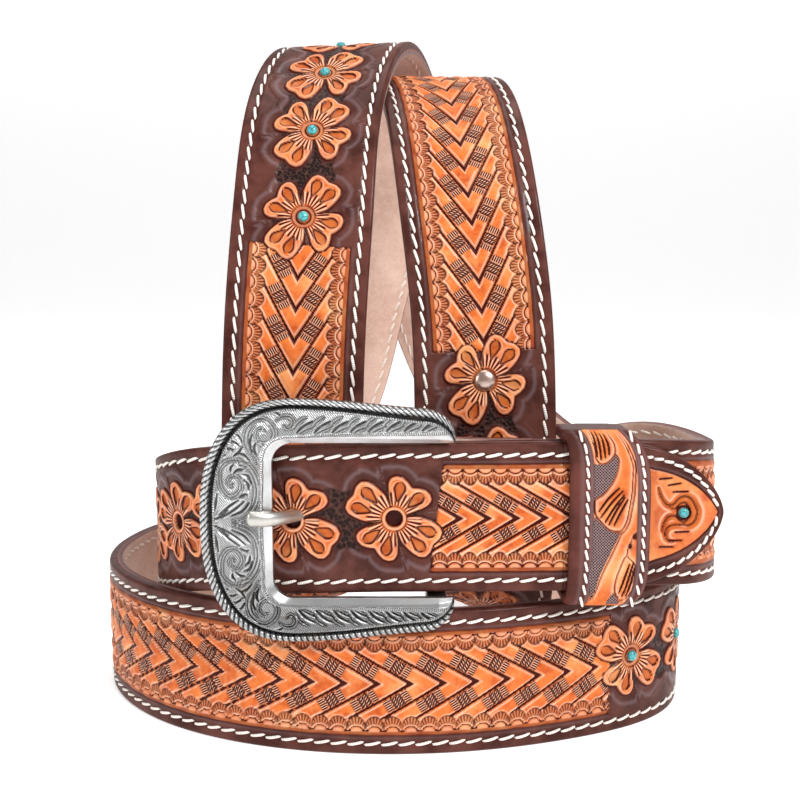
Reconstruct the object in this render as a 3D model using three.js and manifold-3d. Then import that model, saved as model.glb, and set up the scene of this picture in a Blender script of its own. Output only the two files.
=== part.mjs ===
// A western leather belt, fastened and set down in a display coil, in millimetres with +Z up.
// X runs along the buckled front from left to right, Y goes from the front to the back.
import * as THREE from "three";
import Module from "manifold-3d";

const wasm = await Module();
wasm.setup();

// Strap
const STRAP_WIDTH = 38;
const OUTER_THICK = 2.4;
const LINING_THICK = 1.4;
const PLY_GAP = 0.2;
const STRAP_THICK = OUTER_THICK + PLY_GAP + LINING_THICK;
const EDGE_ROUND = 0.8;
const LINING_INSET = 0.15;
const TIP_LENGTH = 34;
const TIP_BLUNT = 0.7;
const SAGITTA = 0.1;
const STEP_LEAST = 1.6;
const STEP_MOST = 8;

// Where the origin lies on the route's own axes, under the middle of the whole coil
const MIDDLE_X = 0;
const MIDDLE_Y = 17;

// The middle line of the tooled face, from the end folded round the buckle's bar to the pointed tip.
// A row holds the place (x, y, z) and the way the tooled face looks (nx, ny, nz).
const ROUTE = [
  { at: "fold_end", x: 34, y: -36.6, z: 61.5, nx: 0, ny: 1, nz: 0 },
  { at: "fold_mid", x: 25, y: -36.4, z: 61.5, nx: 0, ny: 1, nz: 0 },
  { at: "fold_in", x: 17, y: -34.6, z: 61.5, nx: -0.2, ny: 1, nz: 0 },
  { at: "fold_back", x: 10, y: -32.7, z: 61.5, nx: -0.05, ny: 1, nz: 0 },
  { at: "fold_turn_in", x: 5.2, y: -34.4, z: 61.5, nx: -0.7, ny: 0.7, nz: 0 },
  { at: "fold_turn", x: 3.4, y: -39, z: 61.5, nx: -1, ny: 0, nz: 0 },
  { at: "fold_turn_out", x: 5.2, y: -43.5, z: 61.5, nx: -0.7, ny: -0.7, nz: 0 },
  { at: "bar", x: 10, y: -45.2, z: 61.5, nx: -0.05, ny: -1, nz: 0 },
  { at: "under_tip_a", x: 24, y: -45.2, z: 61.7, nx: 0, ny: -1, nz: 0 },
  { at: "under_tip_b", x: 42, y: -45.2, z: 62, nx: 0, ny: -1, nz: 0 },
  { at: "under_tip_c", x: 64, y: -45.2, z: 62, nx: 0.03, ny: -1, nz: 0 },
  { at: "upper_right_front", x: 79.5, y: -37, z: 60.5, nx: 0.62, ny: -0.78, nz: 0.03 },
  { at: "upper_right", x: 88, y: -16, z: 58.4, nx: 1, ny: -0.05, nz: 0.04 },
  { at: "upper_right_side", x: 84.5, y: 2, z: 58.6, nx: 0.93, ny: 0.36, nz: 0 },
  { at: "upper_right_back", x: 75, y: 17.5, z: 57.6, nx: 0.68, ny: 0.73, nz: 0 },
  { at: "upper_back_right", x: 59, y: 30, z: 53.5, nx: 0.58, ny: 0.81, nz: 0 },
  { at: "left_arch_rise_a", x: 43.5, y: 43, z: 61.5, nx: 0.64, ny: 0.76, nz: -0.12 },
  { at: "left_arch_rise_b", x: 32, y: 61, z: 73, nx: 0.66, ny: 0.73, nz: -0.2 },
  { at: "left_arch_rise_c", x: 24, y: 78, z: 89, nx: 0.42, ny: 0.88, nz: -0.2 },
  { at: "left_arch_back_low", x: 15, y: 90.5, z: 111, nx: 0.12, ny: 0.98, nz: -0.1 },
  { at: "left_arch_back", x: 7, y: 88, z: 139, nx: 0.03, ny: 0.97, nz: 0.2 },
  { at: "left_arch_over", x: -2, y: 71, z: 172, nx: 0.02, ny: 0.78, nz: 0.62 },
  { at: "left_arch_top", x: -11, y: 43, z: 192, nx: -0.04, ny: 0.28, nz: 0.96 },
  { at: "left_arch_crest", x: -18.5, y: 15, z: 190, nx: -0.05, ny: -0.42, nz: 0.9 },
  { at: "left_arch_shoulder", x: -24, y: -6, z: 171, nx: -0.02, ny: -0.8, nz: 0.6 },
  { at: "left_arch_front_high", x: -26, y: -20, z: 144, nx: 0, ny: -0.97, nz: 0.25 },
  { at: "left_arch_front", x: -28, y: -27, z: 112, nx: 0, ny: -1, nz: 0.1 },
  { at: "left_arch_front_low", x: -29, y: -30, z: 80, nx: 0, ny: -1, nz: 0.08 },
  { at: "left_curl_turn", x: -29, y: -29, z: 52, nx: 0.05, ny: -0.97, nz: -0.25 },
  { at: "left_curl_under", x: -29, y: -14, z: 28, nx: 0.25, ny: -0.6, nz: -0.75 },
  { at: "left_curl_low", x: -30, y: 10, z: 19, nx: 0.75, ny: -0.1, nz: -0.65 },
  { at: "left_curl_rear", x: -34, y: 34, z: 19.2, nx: 0.95, ny: 0.3, nz: -0.2 },
  { at: "left_curl_back", x: -48, y: 54, z: 19.1, nx: 0.4, ny: 0.9, nz: 0 },
  { at: "lower_back_left", x: -70, y: 55, z: 19, nx: -0.4, ny: 0.9, nz: 0 },
  { at: "lower_left_back", x: -88, y: 28, z: 19, nx: -0.97, ny: 0.25, nz: 0 },
  { at: "lower_left", x: -87, y: -3, z: 19, nx: -0.98, ny: -0.15, nz: 0 },
  { at: "lower_left_front", x: -72, y: -26, z: 19, nx: -0.6, ny: -0.8, nz: 0 },
  { at: "lower_front_left", x: -38, y: -45.6, z: 19, nx: -0.25, ny: -1, nz: 0 },
  { at: "lower_front", x: 5, y: -50.6, z: 19, nx: 0.05, ny: -1, nz: 0 },
  { at: "lower_front_right", x: 47, y: -41.5, z: 19, nx: 0.38, ny: -0.92, nz: 0 },
  { at: "lower_right_front", x: 77, y: -21.5, z: 19, nx: 0.82, ny: -0.55, nz: 0 },
  { at: "lower_right", x: 84, y: 8, z: 19, nx: 0.99, ny: 0, nz: 0 },
  { at: "lower_right_back", x: 80, y: 36, z: 19, nx: 0.93, ny: 0.4, nz: 0 },
  { at: "lower_back_right", x: 66, y: 54, z: 19, nx: 0.4, ny: 0.9, nz: 0 },
  { at: "right_curl_back", x: 45, y: 53, z: 19.1, nx: -0.4, ny: 0.9, nz: 0 },
  { at: "right_curl_rear", x: 30, y: 34, z: 19.2, nx: -0.95, ny: 0.3, nz: -0.2 },
  { at: "right_curl_low", x: 25, y: 10, z: 19, nx: -0.75, ny: -0.1, nz: -0.65 },
  { at: "right_curl_under", x: 24, y: -14, z: 28, nx: -0.25, ny: -0.6, nz: -0.75 },
  { at: "right_curl_turn", x: 23.5, y: -29, z: 52, nx: -0.05, ny: -0.97, nz: -0.25 },
  { at: "right_arch_front_low", x: 23, y: -30, z: 80, nx: 0, ny: -1, nz: 0.08 },
  { at: "right_arch_front", x: 22, y: -26, z: 112, nx: 0, ny: -1, nz: 0.15 },
  { at: "right_arch_front_high", x: 19, y: -20, z: 140, nx: 0, ny: -0.94, nz: 0.3 },
  { at: "right_arch_shoulder", x: 16, y: -8, z: 163.5, nx: 0, ny: -0.8, nz: 0.6 },
  { at: "right_arch_crest", x: 12.5, y: 10, z: 179, nx: 0, ny: -0.45, nz: 0.9 },
  { at: "right_arch_top", x: 6.5, y: 34, z: 183, nx: 0, ny: 0.25, nz: 0.97 },
  { at: "right_arch_over", x: -1.5, y: 57, z: 169, nx: 0, ny: 0.75, nz: 0.65 },
  { at: "right_arch_back_high", x: -9, y: 72, z: 142, nx: 0, ny: 0.96, nz: 0.28 },
  { at: "right_arch_back", x: -17, y: 76, z: 114, nx: -0.05, ny: 1, nz: 0 },
  { at: "right_arch_fall_a", x: -23, y: 71, z: 90, nx: -0.25, ny: 0.95, nz: -0.15 },
  { at: "right_arch_fall_b", x: -31, y: 60, z: 72, nx: -0.55, ny: 0.8, nz: -0.2 },
  { at: "upper_back_left", x: -42, y: 47, z: 62, nx: -0.68, ny: 0.72, nz: -0.12 },
  { at: "upper_left_back", x: -56, y: 33, z: 48.5, nx: -0.7, ny: 0.71, nz: -0.02 },
  { at: "upper_left_rear", x: -68, y: 17, z: 46, nx: -0.92, ny: 0.4, nz: 0 },
  { at: "upper_left", x: -71.5, y: -3, z: 49, nx: -1, ny: -0.05, nz: 0.02 },
  { at: "upper_left_front", x: -67, y: -20, z: 53, nx: -0.88, ny: -0.48, nz: 0 },
  { at: "upper_left_corner", x: -54, y: -36.2, z: 58.2, nx: -0.65, ny: -0.75, nz: 0 },
  { at: "over_bar_a", x: -32, y: -47.5, z: 60.8, nx: -0.22, ny: -1, nz: 0 },
  { at: "over_bar_b", x: -8, y: -50, z: 61.8, nx: 0, ny: -1, nz: 0 },
  { at: "over_bar_c", x: 20, y: -50, z: 62, nx: 0, ny: -1, nz: 0 },
  { at: "over_bar_d", x: 52, y: -50, z: 62.5, nx: 0, ny: -1, nz: 0 },
  { at: "tip", x: 81, y: -50, z: 63.8, nx: 0, ny: -1, nz: 0 },
];

// Holes through the strap for the prong, by distance from the pointed tip along the strap
const HOLE_RADIUS = 2.1;
const HOLES = [82.5, 127, 147, 166.5];
const PRONG_HOLE = 108.3;

// Set stones and a metal dome on the tooled face: distance from the tip, and across from the middle
const STONE_RADIUS = 1.55;
const STONE_HEIGHT = 1;
const DOME_RADIUS = 2.8;
const DOME_HEIGHT = 1.3;
const SEAT_GAP = 0.3;
const SETTING_SIDES = 10;
const SETTINGS = [
  { name: "tip_stone", fromTip: 10, across: 0.2, kind: "stone" },
  { name: "right_arch_dome", fromTip: 524, across: 0, kind: "dome" },
  { name: "lower_stone_a", fromTip: 794.5, across: 1.2, kind: "stone" },
  { name: "lower_stone_b", fromTip: 770, across: 1.2, kind: "stone" },
  { name: "left_arch_stone_a", fromTip: 1245.1, across: 0.3, kind: "stone" },
  { name: "left_arch_stone_b", fromTip: 1271.5, across: 0.7, kind: "stone" },
  { name: "left_arch_stone_c", fromTip: 1294.5, across: 0.5, kind: "stone" },
  { name: "left_arch_stone_d", fromTip: 1318.5, across: -1.5, kind: "stone" },
];

// Keeper loop, round the tip and the strap under it
const KEEPER_LEFT = 39.6;
const KEEPER_LENGTH = 22.6;
const KEEPER_THICK = 2.4;
const KEEPER_FRONT = -50.5;
const KEEPER_BACK = -40.3;
const KEEPER_LOW = 42.3;
const KEEPER_HIGH = 82.3;
const KEEPER_CORNER = 2.6;

// Buckle frame: an open C of cast metal with a milled rim, standing in front of the strap
const BUCKLE_BACK = -51.3;
const BUCKLE_MIDDLE_Z = 62;
const BUCKLE_RIGHT = 13.6;
const OPENING_LEFT = -31.6;
const OPENING_HALF = 19.6;
const OPENING_CORNER = 5.2;
const ARM_END_HEIGHT = 8.2;
const ARM_END_ROUND = 7.5;
const ARM_END_LEAST = 1.2;
const LEFT_BULGE = 17.8;
const SHOULDER_X = -26;
const SHOULDER_HALF = 30.6;
const POST_LEFT = 6.6;
const POST_RIGHT = 11.8;
const POST_THICK = 3.4;
const BAR_X = 10;
const BAR_Y = -39;
const BAR_RADIUS = 1.8;

// Prong
const PRONG_EYE_RADIUS = 3.5;
const PRONG_EYE_HALF = 2.2;
const PRONG_DEEP = 1.45;
const PRONG_PATH = [
  { x: 8.8, y: -41.6, r: 1.5 },
  { x: 1, y: -43.9, r: 1.5 },
  { x: -13, y: -44.2, r: 1.5 },
  { x: -21.3, y: -45, r: 1.45 },
  { x: -26.3, y: -49.2, r: 1.45 },
  { x: -30, y: -54, r: 1.55 },
  { x: -33.4, y: -56.7, r: 1.85 },
  { x: -37.4, y: -57.1, r: 2.05 },
];

// Turns a list of rows into a smooth curve through them: a natural cubic spline in every column.
function naturalSpline(knots, columns) {
  const n = knots.length;
  const bends = columns.map((value) => {
    const upper = new Array(n).fill(0);
    const right = new Array(n).fill(0);
    for (let i = 1; i < n - 1; i++) {
      const before = knots[i] - knots[i - 1];
      const after = knots[i + 1] - knots[i];
      const slopes = (value[i + 1] - value[i]) / after - (value[i] - value[i - 1]) / before;
      const pivot = 2 * (before + after) - before * upper[i - 1];
      upper[i] = after / pivot;
      right[i] = (6 * slopes - before * right[i - 1]) / pivot;
    }
    const bend = new Array(n).fill(0);
    for (let i = n - 2; i > 0; i--) bend[i] = right[i] - upper[i] * bend[i + 1];
    return bend;
  });
  return (t) => {
    let i = 0;
    while (i < n - 2 && t > knots[i + 1]) i++;
    const span = knots[i + 1] - knots[i];
    const a = knots[i + 1] - t;
    const b = t - knots[i];
    return columns.map((value, c) => {
      const m = bends[c];
      const cubic = (m[i] * a ** 3 + m[i + 1] * b ** 3) / (6 * span);
      const line = (value[i] / span - (m[i] * span) / 6) * a;
      return cubic + line + (value[i + 1] / span - (m[i + 1] * span) / 6) * b;
    });
  };
}

// The strap's route as evenly spaced fine samples, each with its place, direction, face and width axes.
function traceRoute(rows, fine) {
  const places = rows.map((r) => new THREE.Vector3(r.x - MIDDLE_X, r.y - MIDDLE_Y, r.z));
  const faces = rows.map((r) => new THREE.Vector3(r.nx, r.ny, r.nz).normalize());
  const knots = [0];
  for (let i = 1; i < places.length; i++) {
    knots.push(knots[i - 1] + places[i].distanceTo(places[i - 1]));
  }
  const columns = ["x", "y", "z"];
  const place = naturalSpline(knots, columns.map((c) => places.map((p) => p[c])));
  const face = naturalSpline(knots, columns.map((c) => faces.map((p) => p[c])));
  const end = knots.at(-1);
  const count = Math.round(end / fine);
  const samples = [];
  let run = 0;
  let last = null;
  for (let i = 0; i <= count; i++) {
    const t = (end * i) / count;
    const at = new THREE.Vector3(...place(t));
    if (last) run += at.distanceTo(last);
    last = at;
    samples.push({ run, at, face: new THREE.Vector3(...face(t)) });
  }
  samples.forEach((sample, i) => {
    const before = samples[Math.max(0, i - 1)].at;
    const after = samples[Math.min(count, i + 1)].at;
    sample.along = after.clone().sub(before).normalize();
    sample.face.addScaledVector(sample.along, -sample.face.dot(sample.along)).normalize();
    sample.across = new THREE.Vector3().crossVectors(sample.face, sample.along);
  });
  return samples;
}

// One place on the route, worked out between the two samples beside it.
function stationAt(samples, run) {
  let low = 0;
  let high = samples.length - 1;
  while (high - low > 1) {
    const mid = (low + high) >> 1;
    if (samples[mid].run > run) high = mid;
    else low = mid;
  }
  const a = samples[low];
  const b = samples[high];
  const f = Math.min(1, Math.max(0, (run - a.run) / (b.run - a.run)));
  const mix = (key) => a[key].clone().lerp(b[key], f);
  return {
    run,
    at: mix("at"),
    along: mix("along").normalize(),
    face: mix("face").normalize(),
    across: mix("across").normalize(),
  };
}

// Stations along the strap, close together where it bends and near its pointed end.
function spacedStations(samples) {
  const length = samples.at(-1).run;
  const stations = [];
  let run = 0;
  while (run < length - 0.3) {
    const here = stationAt(samples, run);
    stations.push(here);
    const ahead = stationAt(samples, Math.min(length, run + 2));
    const turn = Math.max(here.along.angleTo(ahead.along), here.face.angleTo(ahead.face)) / 2;
    const byBend = Math.sqrt((8 * SAGITTA) / Math.max(turn, 1e-4));
    const left = length - run;
    const byTip = left < TIP_LENGTH ? 0.5 + left / 8 : STEP_MOST;
    run += Math.min(STEP_MOST, byTip, Math.max(STEP_LEAST, byBend));
  }
  stations.push(stationAt(samples, length));
  return stations;
}

// Half of the strap's width, narrowing to a blunt point over the last TIP_LENGTH.
function halfWidth(fromTip) {
  if (fromTip >= TIP_LENGTH) return STRAP_WIDTH / 2;
  const rest = 1 - fromTip / TIP_LENGTH;
  return TIP_BLUNT + (STRAP_WIDTH / 2 - TIP_BLUNT) * (1 - rest ** 2.6) ** 0.65;
}

// A closed body swept through stations, whose section is a convex ring of (across, depth) points.
function sweptBody(stations, section) {
  const points = [];
  const faces = [];
  const rings = stations.map((station) => section(station));
  const n = rings[0].length;
  rings.forEach((ring, i) => {
    const { at, across, face } = stations[i];
    for (const [side, depth] of ring) {
      const p = at.clone().addScaledVector(across, side).addScaledVector(face, -depth);
      points.push(p.x, p.y, p.z);
    }
  });
  for (let i = 0; i < rings.length - 1; i++) {
    for (let j = 0; j < n; j++) {
      const a = i * n + j;
      const b = i * n + ((j + 1) % n);
      faces.push(a, b, a + n, b, b + n, a + n);
    }
  }
  const lastRing = (rings.length - 1) * n;
  for (let j = 1; j < n - 1; j++) {
    faces.push(0, j + 1, j);
    faces.push(lastRing, lastRing + j, lastRing + j + 1);
  }
  return solid(points, faces);
}

function solid(points, faces) {
  const build = (list) =>
    new wasm.Manifold(
      new wasm.Mesh({
        numProp: 3,
        vertProperties: new Float32Array(points),
        triVerts: new Uint32Array(list),
      }),
    );
  const made = build(faces);
  if (made.volume() > 0) return made;
  const turned = [];
  for (let i = 0; i < faces.length; i += 3) turned.push(faces[i], faces[i + 2], faces[i + 1]);
  return build(turned);
}

function geometryOf(body) {
  const mesh = body.getMesh();
  const geometry = new THREE.BufferGeometry();
  geometry.setAttribute("position", new THREE.BufferAttribute(mesh.vertProperties, 3));
  geometry.setIndex(new THREE.BufferAttribute(mesh.triVerts, 1));
  geometry.computeVertexNormals();
  return geometry;
}

function bodyOf(geometry) {
  const flat = geometry.index ? geometry.toNonIndexed() : geometry;
  const position = flat.getAttribute("position");
  const seen = new Map();
  const points = [];
  const faces = [];
  for (let i = 0; i < position.count; i++) {
    const p = [position.getX(i), position.getY(i), position.getZ(i)];
    const key = p.map((v) => Math.round(v * 1e4)).join();
    if (!seen.has(key)) {
      seen.set(key, points.length / 3);
      points.push(...p);
    }
    faces.push(seen.get(key));
  }
  const kept = [];
  for (let i = 0; i < faces.length; i += 3) {
    const [a, b, c] = faces.slice(i, i + 3);
    if (a !== b && b !== c && a !== c) kept.push(a, b, c);
  }
  return solid(points, kept);
}

// A straight pin along one direction, used to punch holes.
function pinThrough(station, radius, side = 0) {
  const pin = new THREE.CylinderGeometry(radius, radius, 4 * STRAP_THICK, 14);
  const spin = new THREE.Quaternion().setFromUnitVectors(new THREE.Vector3(0, 1, 0), station.face);
  const middle = station.at.clone().addScaledVector(station.across, side);
  pin.applyQuaternion(spin);
  pin.translate(middle.x, middle.y, middle.z);
  return bodyOf(pin);
}

function block(x0, x1, y0, y1, z0, z1) {
  const box = new THREE.BoxGeometry(x1 - x0, y1 - y0, z1 - z0);
  box.translate((x0 + x1) / 2 - MIDDLE_X, (y0 + y1) / 2 - MIDDLE_Y, (z0 + z1) / 2);
  return bodyOf(box);
}

// A tube whose radius changes along its path in the level plane z.
function taperedTube(path, z, extra) {
  const rows = path.map((p) => ({ ...p, z, nx: 0, ny: 0, nz: 1 }));
  const samples = traceRoute(rows, 0.5);
  const length = samples.at(-1).run;
  const stations = [];
  const count = 22;
  for (let i = 0; i <= count; i++) stations.push(stationAt(samples, (length * i) / count));
  const radiusAt = naturalSpline(
    path.map((_, i) => (length * i) / (path.length - 1)),
    [path.map((p) => p.r)],
  );
  return sweptBody(stations, ({ run }) => {
    const fromEnd = length - run;
    const blunt = fromEnd < 1.2 ? Math.sqrt(Math.max(0.12, 1 - (1 - fromEnd / 1.2) ** 2)) : 1;
    const r = radiusAt(run)[0] * blunt;
    const deep = Math.min(r, PRONG_DEEP * blunt);
    const ring = [];
    for (let j = 0; j < 12; j++) {
      const angle = (2 * Math.PI * j) / 12;
      ring.push([(deep + extra) * Math.cos(angle), (r + extra) * Math.sin(angle)]);
    }
    return ring;
  });
}

const samples = traceRoute(ROUTE, 0.5);
const strapLength = samples.at(-1).run;
const stations = spacedStations(samples);
const fromTip = (distance) => stationAt(samples, strapLength - distance);

// Prong: an eye on the bar and a tapered tongue that passes through the strap onto the frame
function prongBody(extra) {
  const tongue = taperedTube(PRONG_PATH, BUCKLE_MIDDLE_Z, extra);
  const eye = new THREE.CylinderGeometry(PRONG_EYE_RADIUS, PRONG_EYE_RADIUS, 2 * PRONG_EYE_HALF, 18);
  eye.rotateX(Math.PI / 2);
  eye.translate(BAR_X - MIDDLE_X, BAR_Y - MIDDLE_Y, BUCKLE_MIDDLE_Z);
  const bore = new THREE.CylinderGeometry(BAR_RADIUS + 0.3, BAR_RADIUS + 0.3, 20, 18);
  bore.rotateX(Math.PI / 2);
  bore.translate(BAR_X - MIDDLE_X, BAR_Y - MIDDLE_Y, BUCKLE_MIDDLE_Z);
  return tongue.add(bodyOf(eye)).subtract(bodyOf(bore));
}

// Strap and lining: the same sweep at two depths, then holes, the prong's slot and its way through
const outerSection = ({ run }) => {
  const half = halfWidth(strapLength - run);
  const round = Math.min(EDGE_ROUND, half * 0.6);
  return [
    [-half, round],
    [-half + round, 0],
    [half - round, 0],
    [half, round],
    [half, OUTER_THICK],
    [-half, OUTER_THICK],
  ];
};
const liningSection = ({ run }) => {
  const half = Math.max(0.4, halfWidth(strapLength - run) - LINING_INSET);
  const round = Math.min(EDGE_ROUND * 0.7, half * 0.6);
  const top = OUTER_THICK + PLY_GAP;
  return [
    [half, top],
    [-half, top],
    [-half, STRAP_THICK - round],
    [-half + round, STRAP_THICK],
    [half - round, STRAP_THICK],
    [half, STRAP_THICK - round],
  ];
};
const cutters = [
  ...HOLES.map((distance) => pinThrough(fromTip(distance), HOLE_RADIUS)),
  pinThrough(fromTip(PRONG_HOLE), HOLE_RADIUS),
  taperedTube(PRONG_PATH, BUCKLE_MIDDLE_Z, 0.35),
  block(0, 15.5, -46.6, -31, BUCKLE_MIDDLE_Z - 2.7, BUCKLE_MIDDLE_Z + 2.7),
];
const cut = (body) => cutters.reduce((rest, cutter) => rest.subtract(cutter), body);
const strap = cut(sweptBody(stations, outerSection));
const lining = cut(sweptBody(stations, liningSection));

// Keeper: a rounded band, drawn across the strap and drawn out along it
function roundedRing(y0, y1, z0, z1, corner) {
  const ring = new THREE.Shape();
  ring.moveTo(y0 + corner, z0);
  ring.lineTo(y1 - corner, z0);
  ring.absarc(y1 - corner, z0 + corner, corner, -Math.PI / 2, 0);
  ring.lineTo(y1, z1 - corner);
  ring.absarc(y1 - corner, z1 - corner, corner, 0, Math.PI / 2);
  ring.lineTo(y0 + corner, z1);
  ring.absarc(y0 + corner, z1 - corner, corner, Math.PI / 2, Math.PI);
  ring.lineTo(y0, z0 + corner);
  ring.absarc(y0 + corner, z0 + corner, corner, Math.PI, 1.5 * Math.PI);
  return ring;
}
const t = KEEPER_THICK;
const keeperShape = roundedRing(KEEPER_FRONT - t, KEEPER_BACK + t, KEEPER_LOW - t, KEEPER_HIGH + t,
  KEEPER_CORNER);
keeperShape.holes.push(roundedRing(KEEPER_FRONT, KEEPER_BACK, KEEPER_LOW, KEEPER_HIGH,
  KEEPER_CORNER - 1.6));
const keeperBand = new THREE.ExtrudeGeometry(keeperShape, {
  depth: KEEPER_LENGTH,
  bevelEnabled: false,
  curveSegments: 5,
});
keeperBand.applyMatrix4(new THREE.Matrix4().makeBasis(
  new THREE.Vector3(0, 1, 0),
  new THREE.Vector3(0, 0, 1),
  new THREE.Vector3(1, 0, 0),
));
keeperBand.translate(KEEPER_LEFT - MIDDLE_X, -MIDDLE_Y, 0);

// Buckle frame: the inner and outer outlines run side by side from the upper arm's end to the lower one.
// The way f goes 0 to 1; both outlines mirror about the level through the opening's middle.
function openingOutline(f) {
  const side = f < 0.5 ? 1 : -1;
  const g = 1 - Math.abs(1 - 2 * f);
  const straight = BUCKLE_RIGHT - OPENING_LEFT - OPENING_CORNER;
  const down = OPENING_HALF - OPENING_CORNER;
  const arc = (OPENING_CORNER * Math.PI) / 2;
  const run = g * (straight + arc + down);
  if (run < straight) return [BUCKLE_RIGHT - run, side * OPENING_HALF];
  if (run < straight + arc) {
    const angle = (run - straight) / OPENING_CORNER;
    return [
      OPENING_LEFT + OPENING_CORNER * (1 - Math.sin(angle)),
      side * (OPENING_HALF - OPENING_CORNER * (1 - Math.cos(angle))),
    ];
  }
  return [OPENING_LEFT, side * (down - (run - straight - arc))];
}
function rimOutline(f) {
  const side = f < 0.5 ? 1 : -1;
  const g = 1 - Math.abs(1 - 2 * f);
  const armEnd = OPENING_HALF + ARM_END_HEIGHT;
  const shoulder = 0.5;
  if (g < shoulder) {
    const u = g / shoulder;
    const rise = u * u * (3 - 2 * u);
    const fromEnd = (BUCKLE_RIGHT - SHOULDER_X) * u;
    const round = Math.sqrt(1 - Math.max(0, 1 - fromEnd / ARM_END_ROUND) ** 2);
    const least = OPENING_HALF + ARM_END_LEAST;
    const full = armEnd + (SHOULDER_HALF - armEnd) * rise;
    return [BUCKLE_RIGHT - fromEnd, side * (least + (full - least) * round)];
  }
  const u = ((g - shoulder) / (1 - shoulder)) * (Math.PI / 2);
  const reach = SHOULDER_X - (OPENING_LEFT - LEFT_BULGE);
  return [
    SHOULDER_X - reach * Math.sin(u) ** 0.82,
    side * SHOULDER_HALF * Math.cos(u) ** 0.82,
  ];
}
// Height of the cast face over its flat back, from the opening's edge (0) to the outer rim (1)
const FRAME_PROFILE = [
  { v: 0, h: 0 },
  { v: 0, h: 1.6 },
  { v: 0.14, h: 2.7 },
  { v: 0.42, h: 3.5 },
  { v: 0.74, h: 3.2 },
  { v: 0.86, h: 2.3 },
  { v: 0.92, h: 2.9 },
  { v: 1, h: 2.1 },
  { v: 1, h: 0 },
];
const FRAME_STATIONS = 68;
const END_CROWDING = 0.6;
function frameBody() {
  const points = [];
  const faces = [];
  const n = FRAME_PROFILE.length;
  for (let i = 0; i <= FRAME_STATIONS; i++) {
    const even = i / FRAME_STATIONS;
    const f = even - (END_CROWDING * Math.sin(2 * Math.PI * even)) / (2 * Math.PI);
    const [ix, iz] = openingOutline(f);
    const [ox, oz] = rimOutline(f);
    const end = Math.min(1, (1 - Math.abs(1 - 2 * f)) * 12 + 0.3);
    for (const { v, h } of FRAME_PROFILE) {
      points.push(
        ix + (ox - ix) * v - MIDDLE_X,
        BUCKLE_BACK - h * end ** 0.5 - MIDDLE_Y,
        BUCKLE_MIDDLE_Z + iz + (oz - iz) * v,
      );
    }
  }
  for (let i = 0; i < FRAME_STATIONS; i++) {
    for (let j = 0; j < n; j++) {
      const a = i * n + j;
      const b = i * n + ((j + 1) % n);
      faces.push(a, a + n, b, b, a + n, b + n);
    }
  }
  const last = FRAME_STATIONS * n;
  for (let j = 1; j < n - 1; j++) {
    faces.push(0, j, j + 1);
    faces.push(last, last + j + 1, last + j);
  }
  return solid(points, faces);
}
const high = BUCKLE_MIDDLE_Z + OPENING_HALF + 0.3;
const low = BUCKLE_MIDDLE_Z - OPENING_HALF - 0.3;
const deep = BAR_Y + BAR_RADIUS;
const barPin = new THREE.CylinderGeometry(BAR_RADIUS, BAR_RADIUS, high - low + 4, 16);
barPin.rotateX(Math.PI / 2);
barPin.translate(BAR_X - MIDDLE_X, BAR_Y - MIDDLE_Y, BUCKLE_MIDDLE_Z);
const buckle = frameBody()
  .add(block(POST_LEFT, POST_RIGHT, BUCKLE_BACK - 1.2, deep, high, high + POST_THICK))
  .add(block(POST_LEFT, POST_RIGHT, BUCKLE_BACK - 1.2, deep, low - POST_THICK, low))
  .add(bodyOf(barPin));

// A small dome, set on the tooled face
function settingGeometry({ fromTip: distance, across, kind }) {
  const radius = kind === "stone" ? STONE_RADIUS : DOME_RADIUS;
  const height = kind === "stone" ? STONE_HEIGHT : DOME_HEIGHT;
  const profile = [new THREE.Vector2(0, 0), new THREE.Vector2(radius, 0)];
  for (let i = 0; i <= 3; i++) {
    const angle = (i / 4) * (Math.PI / 2);
    profile.push(new THREE.Vector2(radius * Math.cos(angle), height * (0.2 + 0.8 * Math.sin(angle))));
  }
  profile.push(new THREE.Vector2(0, height));
  const dome = new THREE.LatheGeometry(profile, SETTING_SIDES);
  const station = fromTip(distance);
  dome.applyQuaternion(
    new THREE.Quaternion().setFromUnitVectors(new THREE.Vector3(0, 1, 0), station.face),
  );
  const p = station.at
    .clone()
    .addScaledVector(station.across, across)
    .addScaledVector(station.face, SEAT_GAP);
  dome.translate(p.x, p.y, p.z);
  return dome;
}

const MATERIALS = {
  tooled: new THREE.MeshStandardMaterial({ color: 0xb5652f, roughness: 0.55, metalness: 0 }),
  suede: new THREE.MeshStandardMaterial({ color: 0xcfae9c, roughness: 0.95, metalness: 0 }),
  dark: new THREE.MeshStandardMaterial({ color: 0x4a2a20, roughness: 0.5, metalness: 0 }),
  silver: new THREE.MeshStandardMaterial({ color: 0xb9bbbd, roughness: 0.35, metalness: 1 }),
  turquoise: new THREE.MeshStandardMaterial({ color: 0x4fbfc4, roughness: 0.35, metalness: 0 }),
};

const belt = new THREE.Group();
function addPart(name, geometry, material) {
  const mesh = new THREE.Mesh(geometry, material);
  mesh.name = name;
  belt.add(mesh);
}
addPart("strap", geometryOf(strap), MATERIALS.tooled);
addPart("lining", geometryOf(lining), MATERIALS.suede);
addPart("keeper", keeperBand, MATERIALS.dark);
addPart("buckle_frame", geometryOf(buckle), MATERIALS.silver);
addPart("prong", geometryOf(prongBody(0)), MATERIALS.silver);
for (const setting of SETTINGS) {
  const metal = setting.kind === "dome";
  addPart(setting.name, settingGeometry(setting), metal ? MATERIALS.silver : MATERIALS.turquoise);
}

export default belt;
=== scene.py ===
# Looks of the belt, in metres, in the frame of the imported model. The tables here are in millimetres.
import math

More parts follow.
